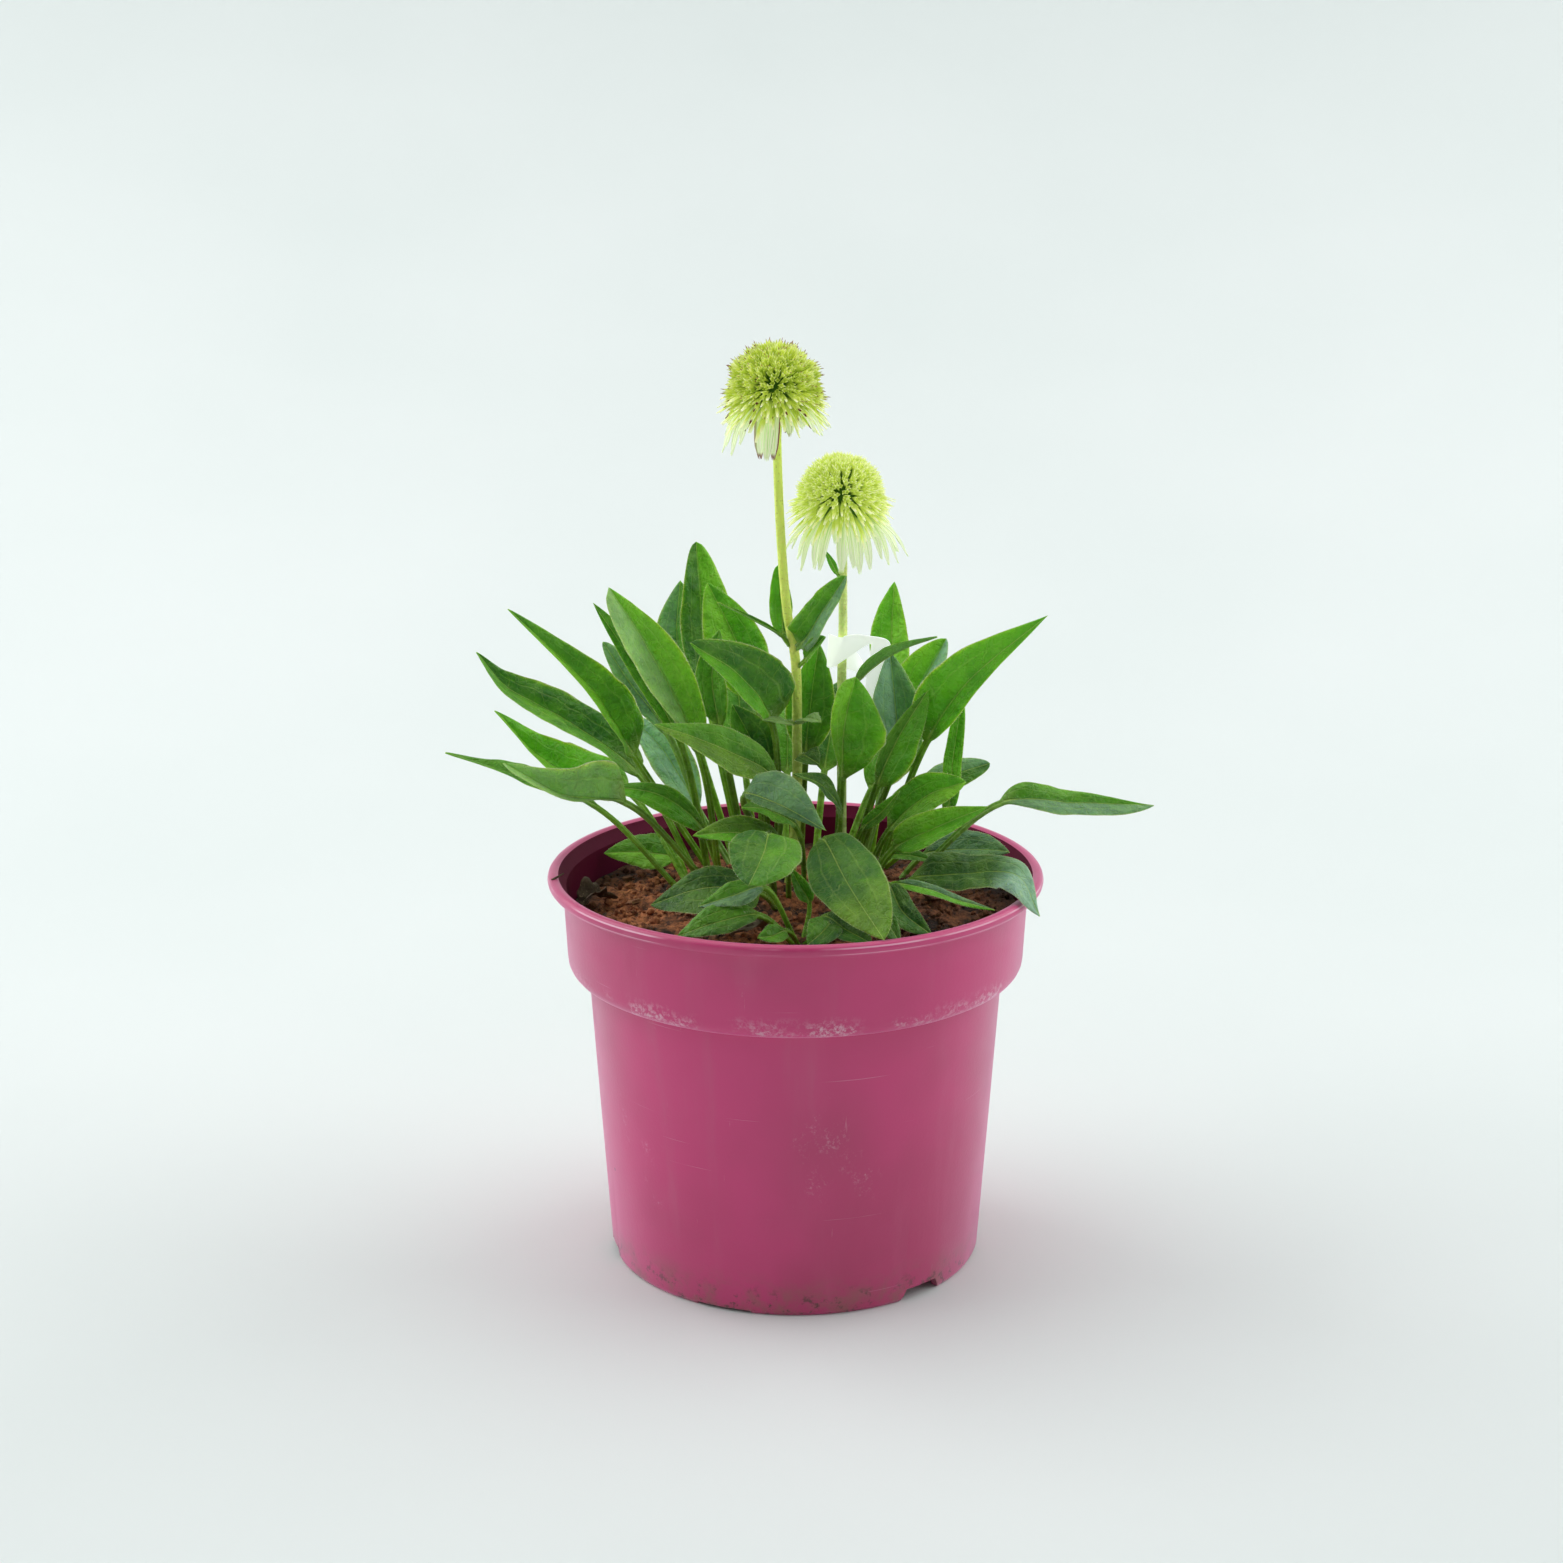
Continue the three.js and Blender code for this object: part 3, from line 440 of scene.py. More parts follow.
# Every vertex carries a seed for its colour: -1 on the ball, 0 to 1 on a crumb, 1 to 2 on a chip of
# bark and 2 to 3 on a fibre.
BALL_SEED = -1.0
CHIP_SEED = 1
FIBRE_SEED = 2
crumbs, chips, fibres = ([], []), ([], []), ([], [])
for k in range(CRUMBS):
    x, y, top = on_soil(84 * math.sqrt(random.random()))
    size = random.choice((0.7, 0.9, 1.1, 1.4, 1.9))
    flat = (random.uniform(-1, 1), random.uniform(-1, 1), random.uniform(-1, 1))
    sizes = (size, size * random.uniform(0.6, 1), size * random.uniform(0.5, 0.9))
    crumbs[0].append(frame_at((x, y, top + size * 0.2), flat, sizes, k))
    crumbs[1].append(random.random())
for k in range(CHIPS):
    place = on_soil(random.uniform(30, 82))
    long = random.uniform(3, 8)
    lying = (math.cos(k * 2.4), math.sin(k * 2.4), random.uniform(-0.1, 0.25))
    chips[0].append(frame_at(place, lying, (long * 0.45, 1.3, long), random.uniform(-0.5, 0.5)))
    chips[1].append(CHIP_SEED + random.random())
for k in range(FIBRES):
    x, y, top = on_soil(83 * math.sqrt(random.random()))
    lying = (math.cos(k * 1.7), math.sin(k * 1.7), random.uniform(-0.15, 0.3))
    fibres[0].append(frame_at((x, y, top + 0.3), lying, (0.16, 0.16, random.uniform(3, 9)), k))
    fibres[1].append(FIBRE_SEED + random.random())
write(soil.data, "seed", "FLOAT", np.full(len(soil.data.vertices), BALL_SEED))
soil = joined(soil, scatter("crumbs", crumb.data, *crumbs), scatter("chips", chip.data, *chips),
              scatter("fibres", fibre.data, *fibres))
for pattern in (crumb, chip, fibre):
    bpy.data.objects.remove(pattern)

coir = Finish("coir_and_bark", Roughness=0.95)
spot = coir.place()
colour = coir.mix(coir.patches(0.34, 0.6, spot, 420.0, 6.0, 0.75), srgb(62, 34, 20), srgb(190, 118, 74))
colour = coir.mix(coir.patches(0.46, 0.6, spot, 55.0, 4.0, 0.6), colour, srgb(46, 28, 20))
colour = coir.mix(coir.patches(0.62, 0.74, spot, 800.0, 3.0, 0.6), colour, srgb(190, 128, 84))
seed = coir.attribute("seed", "Fac")
own_colour = coir.mix(coir.math("FRACT", coir.times(seed, 7.0)), srgb(112, 64, 40), srgb(196, 128, 82))
colour = coir.mix(coir.times(coir.band(seed, -0.01, 0.0), 0.6), colour, own_colour)
is_bark = coir.times(coir.band(seed, 0.99, 1.0), coir.band(seed, 2.0, 1.99))
bark = coir.mix(coir.noise(coir.place((1, 1, 4)), 260.0, 5.0), srgb(84, 48, 32), srgb(176, 122, 84))
colour = coir.mix(is_bark, colour, bark)
colour = coir.mix(coir.band(seed, 1.99, 2.0), colour, srgb(150, 100, 62))
# Painted shade: the soil is darker on its right, under the leaves, and all round by the pot's wall.
shaded_side = coir.times(coir.band(coir.part(spot, 0), 0.0, 0.04), 0.5)
colour = coir.mix(shaded_side, colour, srgb(40, 24, 14))
wall_shade = coir.times(coir.band(coir.from_axis(spot), 0.066, 0.084), 0.75)
coir.wire("Base Color", coir.mix(wall_shade, colour, srgb(36, 20, 14)))
coir.bump(coir.plus(coir.noise(spot, 700.0, 6.0, 0.7), coir.noise(spot, 150.0)), 0.8, 0.0012)
keep(soil, coir, "soil", "soil")

# Basal leaves: each grows on its own long petiole out of the soil, a rough, hairy blade with a pale
# midrib and two pairs of veins that arch from the base to the tip. The places, widths and folds are
# the solids' own; the blade here is half a millimetre thick, quilted between its veins.
# The greens of the leaves. The darkest one is painted shade, for leaves that stand in the shadow of others.
TONES = {
    "mid": srgb(86, 148, 34), "lime": srgb(130, 196, 46), "fresh": srgb(98, 176, 28),
    "deep": srgb(54, 108, 34), "mist": srgb(112, 152, 112), "dim": srgb(40, 86, 28),
    "frost": srgb(152, 192, 168), "blue": srgb(80, 122, 84), "olive": srgb(100, 140, 36),
    "pale": srgb(150, 190, 116), "stalk": srgb(140, 184, 58), "hair": srgb(206, 222, 180),
    "stem_1": srgb(236, 252, 118), "stem_2": srgb(236, 252, 156), "dry": srgb(70, 52, 38),
    "brown": srgb(128, 136, 40),
}
# A leaf's rings run along its stalk and then its blade, whose share s is below 0 on stalks and stems.
# The blade takes over from the stalk within its share BROADENS, FRILL is how high its margins crinkle
# for its width, and round CROWN, a place in mm, the leaves are painted darker as shade.
STALK_ROWS = 14
BLADE_ROWS = 46
ROWS = STALK_ROWS + BLADE_ROWS
ROUND = 32
ON_STALK = -0.5
ON_STEM = -1.0
BROADENS = 0.16
FRILL = 0.035
CROWN = (5, 6, 165)


def ringed_tube(name, sides, rows):
    """A closed tube of radius 1 along Z from -0.5 to 0.5, cut into rows of rings."""
    bpy.context.tool_settings.mesh_select_mode = (False, True, False)
    bpy.ops.mesh.primitive_cylinder_add(vertices=sides, radius=1, depth=1)
    tube = bpy.context.object
    tube.name = name
    bpy.ops.object.mode_set(mode="EDIT")
    bpy.ops.mesh.select_all(action="DESELECT")
    bpy.ops.object.mode_set(mode="OBJECT")
    for edge in tube.data.edges:
        low, high = [tube.data.vertices[v].co.z for v in edge.vertices]
        edge.select = low * high < 0
    bpy.ops.object.mode_set(mode="EDIT")
    bpy.ops.mesh.subdivide(number_cuts=rows - 1)
    bpy.ops.object.mode_set(mode="OBJECT")
    return tube


leaf_pattern = ringed_tube("leaf_pattern", ROUND, ROWS)


def spline(points, share):
    """The smooth line through points at a share of its course, with the solids' own spacing of knots."""
    at = (len(points) - 1) * share
    i = min(int(at), len(points) - 2)
    w = at - i
    before = points[i - 1] if i > 0 else 2 * points[0] - points[1]
    start, end = points[i], points[i + 1]
    after = points[i + 2] if i + 2 < len(points) else 2 * points[-1] - points[-2]
    d0, d1, d2 = [np.linalg.norm(b - a) ** 0.5 for a, b in ((before, start), (start, end), (end, after))]
    t1 = ((start - before) / d0 - (end - before) / (d0 + d1) + (end - start) / d1) * d1
    t2 = ((end - start) / d1 - (after - start) / (d1 + d2) + (after - end) / d2) * d1
    return start + t1 * w + (3 * (end - start) - 2 * t1 - t2) * w * w + (2 * (start - end) + t1 + t2) * w ** 3


def lengths_of(vectors):
    return np.linalg.norm(vectors, axis=1)[:, None]


def course(points, shares):
    """Places and directions along a smooth line."""
    points = [np.array(p, float) for p in points]
    places = np.array([spline(points, t) for t in shares])
    ahead = np.array([spline(points, min(1, t + 0.01)) - spline(points, max(0, t - 0.01)) for t in shares])
    return places, ahead / lengths_of(ahead)


def smooth(value, low, high):
    share = np.clip((value - low) / (high - low), 0, 1)
    return share * share * (3 - 2 * share)


def unit_places(piece):
    """Where a pattern's vertices are, as one array."""
    flat = np.empty(len(piece.data.vertices) * 3)
    piece.data.vertices.foreach_get("co", flat)
    return flat.reshape(-1, 3)


def bristles(places, directions, lengths, width, tone):
    """Fine hairs: three-sided spikes that stand on places in mm."""
    places, directions, lengths = np.array(places), np.array(directions), np.array(lengths)
    directions /= lengths_of(directions)
    aside = np.cross(directions, (0.31, 0.52, 0.79))
    aside /= lengths_of(aside)
    other = np.cross(directions, aside)
    ring = [places + width * (math.cos(turn) * aside + math.sin(turn) * other) - 0.1 * directions
            for turn in (0, 2.09, 4.19)]
    corners = np.stack([*ring, places + directions * lengths[:, None]], axis=1).reshape(-1, 3) * MM
    spike = ((0, 2, 1), (0, 1, 3), (1, 2, 3), (2, 0, 3))
    faces = [[4 * k + v for v in face] for k in range(len(places)) for face in spike]
    mesh = bpy.data.meshes.new("hairs")
    mesh.from_pydata(corners.tolist(), [], faces)
    count = len(corners)
    write(mesh, "leaf", "FLOAT_VECTOR", np.tile((ON_STALK, 0, 0), (count, 1)))
    write(mesh, "flat", "FLOAT_VECTOR", np.zeros((count, 3)))
    write(mesh, "tone", "FLOAT_COLOR", np.tile(tone, (count, 1)))
    return added("hairs", mesh)


def blade(name, rib, width, face, fold, wave, tones, shape=(1, 1, 0.75, 0.75, 0.8), hairy=True):
    """One leaf along its rib, from its root in the soil to its tip, in mm. Its upper side looks the way
    of face, its halves rise by the angle fold, and its margins wave. The shape tells how broad the minus
    and the plus half are, where each is broadest (less is nearer the base) and how pointed they end."""
    seed = sum(ord(letter) * (k + 3) for k, letter in enumerate(name)) % 97
    luck = random.Random(seed)

    # Along the rib: the first knot ends the stalk, and s runs from 0 there to 1 at the tip.
    base = 1 / (len(rib) - 1)
    stalk = min(2.8, max(1.3, width / 4))
    rows = np.arange(ROWS + 1)
    s_row = np.clip((rows - STALK_ROWS) / BLADE_ROWS, 0, 1)
    shares = np.where(rows <= STALK_ROWS, base * rows / STALK_ROWS, base + (1 - base) * s_row)
    centres, along = course(rib, shares)
    across = np.cross(np.array(rib[-1], float) - course(rib, [base])[0][0], face)
    side = across - along * (along @ across)[:, None]
    side /= lengths_of(side)
    up = np.cross(side, along)
    run = np.concatenate([[0], np.cumsum(np.linalg.norm(np.diff(centres, axis=0), axis=1))])
    run -= run[STALK_ROWS]

    # Round the pattern's rings: t runs from -1 at one margin to 1 at the other, above and below.
    leaf = added(name, leaf_pattern.data.copy())
    unit = unit_places(leaf)
    row = np.rint((unit[:, 2] + 0.5) * ROWS).astype(int)
    angle = np.arctan2(unit[:, 1], unit[:, 0])
    t = 2 * np.abs(angle) / math.pi - 1
    upper = np.where(np.abs(np.sin(angle)) < 1e-4, 0, np.sign(angle))
    s = s_row[row]
    minus = t < 0
    aside = np.abs(t)

    # The outline of each half, and how far the blade has taken over from the stalk.
    halves = ((shape[0], shape[2], shape[4]), (shape[1], shape[3], shape[-1]))
    edges = [broad * np.sin(math.pi * s_row ** peak) ** point for broad, peak, point in halves]
    uneven = [[noise.noise(Vector((6 * v, seed, edge))) for edge in (0, 5)] for v in s_row]
    edges = np.stack(edges, axis=1) * (1 + 0.06 * np.array(uneven))
    outline = np.where(minus, edges[row, 0], edges[row, 1])
    half = width / 2 * outline
    half = np.maximum(half, np.where(s < 0.3, stalk / 2 * (1 - s * 3), 0.25 - 0.2 * (s > 0.99)))
    taper = smooth(s, 0.0, BROADENS)

    # Heights of the sheet over the rib: its fold, its waves, and the quilting between its veins.
    lift = half * math.sin(math.radians(fold)) * aside ** 1.35 * taper
    ripple = wave * outline * np.where(minus, np.sin(9 * s + 1), np.sin(9 * s + 3)) * aside ** 1.6
    frill = np.array([[noise.noise(Vector((11 * v, seed + 9, edge))) for edge in (0, 5)] for v in s_row])
    ripple += FRILL * width * outline * aside ** 3 * np.where(minus, frill[row, 0], frill[row, 1])
    puffed = 0.045 * width * outline * 4 * aside * (1 - aside) * taper
    puffed -= 0.16 * np.exp(-(((aside - 0.46) * half) / 0.5) ** 2) * taper * (1 - s)
    between_veins = np.cos(2 * math.pi * (run[row] / 10 - 0.9 * aside ** 0.8 + 0.27 * np.sign(t)))
    puffed += 0.02 * width * outline * 4 * aside * (1 - aside) * taper * (1 - s ** 3) * between_veins
    dents = [noise.noise(Vector((far, out, seed))) for far, out in zip(run[row] / 13, 1.7 * t)]
    puffed += 0.055 * width * outline * (1 - aside ** 4) * taper * np.array(dents)

    # The section: a round stalk with a channel above, then a thin blade with its rib below.
    rib_share = np.exp(-((t * half) / 0.75) ** 2)
    thin = 0.24 * (1 - aside ** 6) + 0.02
    above = thin - 0.22 * rib_share * (1 - s)
    below = thin + 0.32 * stalk * (1 - 0.8 * s) * rib_share
    tube = stalk * 0.43 * np.abs(np.sin(angle)) * (1 + 0.12 * (row < 3))
    channel = 0.3 * stalk * np.exp(-(np.cos(angle) / 0.45) ** 2)
    top = (1 - taper) * (tube - channel) + taper * above
    bottom = -(1 - taper) * tube - taper * below
    high = np.where(upper == 0, 0, np.where(upper > 0, top, bottom))
    wide = half * ((1 - taper) * -np.cos(angle) + taper * t * math.cos(math.radians(fold)))
    spots = centres[row] + side[row] * wide[:, None]
    spots += up[row] * (lift + ripple * taper + puffed + high)[:, None]
    leaf.data.vertices.foreach_set("co", np.ravel(spots * MM))

    # What the material reads: the place on the leaf, the same in mm, and the tone of the green, with
    # painted shade near the crown.
    apart = np.full(len(unit), seed * 17.0)
    write(leaf.data, "leaf", "FLOAT_VECTOR", np.stack([np.where(s > 0, s, ON_STALK), t, upper < 0], axis=1))
    write(leaf.data, "flat", "FLOAT_VECTOR", np.stack([run[row], t * half, apart], axis=1))
    greens = [np.array(TONES[tone]) for tone in tones]
    plus = smooth(t, -0.1, 0.1)[:, None]
    tone = greens[0] * (1 - plus) + greens[1] * plus
    if len(greens) > 2:
        late = smooth(s, 0.5, 0.75)[:, None]
        tone = tone * (1 - late) + greens[2] * late
    stalky = (1 - smooth(s, 0.0, 0.12))[:, None]
    low = np.clip(row / STALK_ROWS, 0, 1)[:, None]
    stalk_tone = np.array(TONES["stalk"]) * (1.12 - 0.2 * low)
    tone = tone * (1 - stalky) + (0.7 * stalk_tone + 0.3 * greens[1]) * stalky
    # Painted shade: the green is darker near the crown, for the shade the leaves cast on each other.
    crown_shade = 1 - smooth(np.linalg.norm((spots - CROWN) * (1, 1, 0.9), axis=1), 10, 66)
    write(leaf.data, "tone", "FLOAT_COLOR", tone * (1 - 0.62 * crown_shade)[:, None])

    # Hairs: they stand round the stalk and the foot of the blade, and along its margins.
    if hairy:
        roots, ways, lengths = [], [], []
        for k in range(int(70 + 2.2 * width)):
            i = luck.randrange(2, STALK_ROWS + 8)
            turn = luck.uniform(0, 2 * math.pi)
            out = side[i] * math.cos(turn) + up[i] * math.sin(turn)
            f = luck.random()
            roots.append(centres[i] * (1 - f) + centres[i + 1] * f + out * stalk * 0.42)
            ways.append(out + along[i] * luck.uniform(-0.1, 0.5))
            lengths.append(luck.uniform(0.35, 0.9))
        for k in range(int(5 * width)):
            i = luck.randrange(STALK_ROWS + 1, ROWS - 1)
            hand = luck.choice((-1, 1))
            broad = edges[i, max(hand, 0)]
            rise = broad * width / 2 * math.sin(math.radians(fold))
            rise += wave * broad * math.sin(9 * s_row[i] + (1 if hand < 0 else 3))
            rise += FRILL * width * broad * frill[i, max(hand, 0)]
            rise *= smooth(s_row[i], 0.0, BROADENS)
            reach = hand * broad * width / 2 * math.cos(math.radians(fold))
            roots.append(centres[i] + side[i] * reach + up[i] * rise)
            ways.append(side[i] * hand + along[i] * luck.uniform(0.2, 0.9) + up[i] * luck.uniform(-0.4, 0.4))
            lengths.append(luck.uniform(0.3, 0.6))
        leaf = joined(leaf, bristles(roots, ways, lengths, 0.045, TONES["hair"]))
    select_only(leaf)
    bpy.ops.object.mode_set(mode="EDIT")
    bpy.ops.mesh.select_all(action="SELECT")
    bpy.ops.mesh.normals_make_consistent(inside=False)
    bpy.ops.object.mode_set(mode="OBJECT")
    shade(leaf, 75)
    return leaf


# The green of leaves and stems: a mottled base in each leaf's own tone, painted darker where leaves
# stand in shade, pale veins that arch and branch, a net of finer ones, a paler underside and margin,
# and purple flecks on the stems.
green = Finish("rough_green_leaf", Subsurface_Weight=0.35, Subsurface_Radius=(0.6, 1.0, 0.15),
               Subsurface_Scale=0.0022, Specular_IOR_Level=0.3)
where, flat, tone = green.attribute("leaf"), green.attribute("flat"), green.attribute("tone", "Color")
s, t, under = [green.part(where, axis) for axis in range(3)]
run, breadth = green.part(flat, 0), green.part(flat, 1)
aside = green.math("ABSOLUTE", t)
on_blade = green.band(s, 0.0, 0.05)
wobble = green.times(green.math("SUBTRACT", green.noise(flat, 0.13, 2.0), 0.5), 0.2)
rib_width = green.math("DIVIDE", 0.62, green.plus(1.0, green.times(s, 2.2)))
midrib = green.band(green.math("ABSOLUTE", breadth), rib_width, 0.12)
bent = green.plus(aside, wobble)
arch = green.times(green.band(green.away(bent, 0.5), 0.05, 0.012), green.band(s, 0.95, 0.6))
outer = green.times(green.band(green.away(bent, 0.8), 0.03, 0.01), green.band(s, 0.6, 0.3))
forward = green.plus(green.math("DIVIDE", run, 8.5), green.times(wobble, 7.0))
forward = green.math("SUBTRACT", forward, green.times(green.math("POWER", aside, 0.8), 0.9))
forward = green.plus(forward, green.times(green.math("SIGN", t), 0.27))
lateral = green.band(green.away(green.math("FRACT", forward), 0.5), 0.04, 0.01)
lateral = green.times(lateral, green.patches(0.42, 0.6, flat, 0.2, 1.0))
net_lines = green.band(green.cells(flat, 0.36, "DISTANCE_TO_EDGE"), 0.1, 0.02)
net = green.times(net_lines, green.patches(0.35, 0.65, flat, 0.3, 2.0))
veins = green.most(midrib, green.times(arch, 0.26), green.times(outer, 0.08), green.times(lateral, 0.34))
fine_veins = green.times(green.most(veins, green.times(net, 0.25)), on_blade)
veins = green.times(veins, on_blade)
grainy = green.noise(flat, 1.8, 4.0, 0.7)
dark = green.mix(0.4, tone, srgb(28, 74, 8))
light = green.mix(0.25, tone, srgb(164, 212, 56))
colour = green.mix(green.patches(0.32, 0.68, flat, 0.09, 3.0, 0.6), dark, light)
colour = green.mix(0.4, colour, tone)
colour = green.mix(green.times(green.band(grainy, 0.45, 0.75), 0.14), colour, srgb(36, 84, 20))
colour = green.mix(green.times(net, 0.14), colour, srgb(160, 196, 96))
colour = green.mix(green.times(veins, 0.5), colour, srgb(186, 216, 106))
below = green.mix(0.4, colour, srgb(150, 184, 120))
colour = green.mix(green.times(under, on_blade), colour, below)
margin = green.times(green.band(aside, 0.95, 0.99), on_blade)
colour = green.mix(green.times(margin, 0.4), colour, srgb(180, 210, 120))
is_stem = green.band(s, -0.9, -0.99)
on_stem = green.times(is_stem, 0.9)
colour = green.mix(on_stem, colour, tone)
low = green.times(on_stem, green.band(green.part(green.place(), 2), 0.24, 0.2))
colour = green.mix(green.times(low, 0.7), colour, srgb(104, 138, 58))
purple = green.times(is_stem, green.patches(0.6, 0.7, flat, 0.9, 3.0, 0.7))
green.wire("Base Color", green.mix(green.times(purple, 0.5), colour, srgb(126, 84, 74)))
green.wire("Roughness", green.plus(0.34, green.times(grainy, 0.26)))
quilt = green.math("SUBTRACT", green.times(green.noise(flat, 0.7), 0.7), fine_veins)
green.bump(green.plus(quilt, green.times(green.noise(flat, 0.2, 2.0), 2.2)), 0.8, 0.0012)

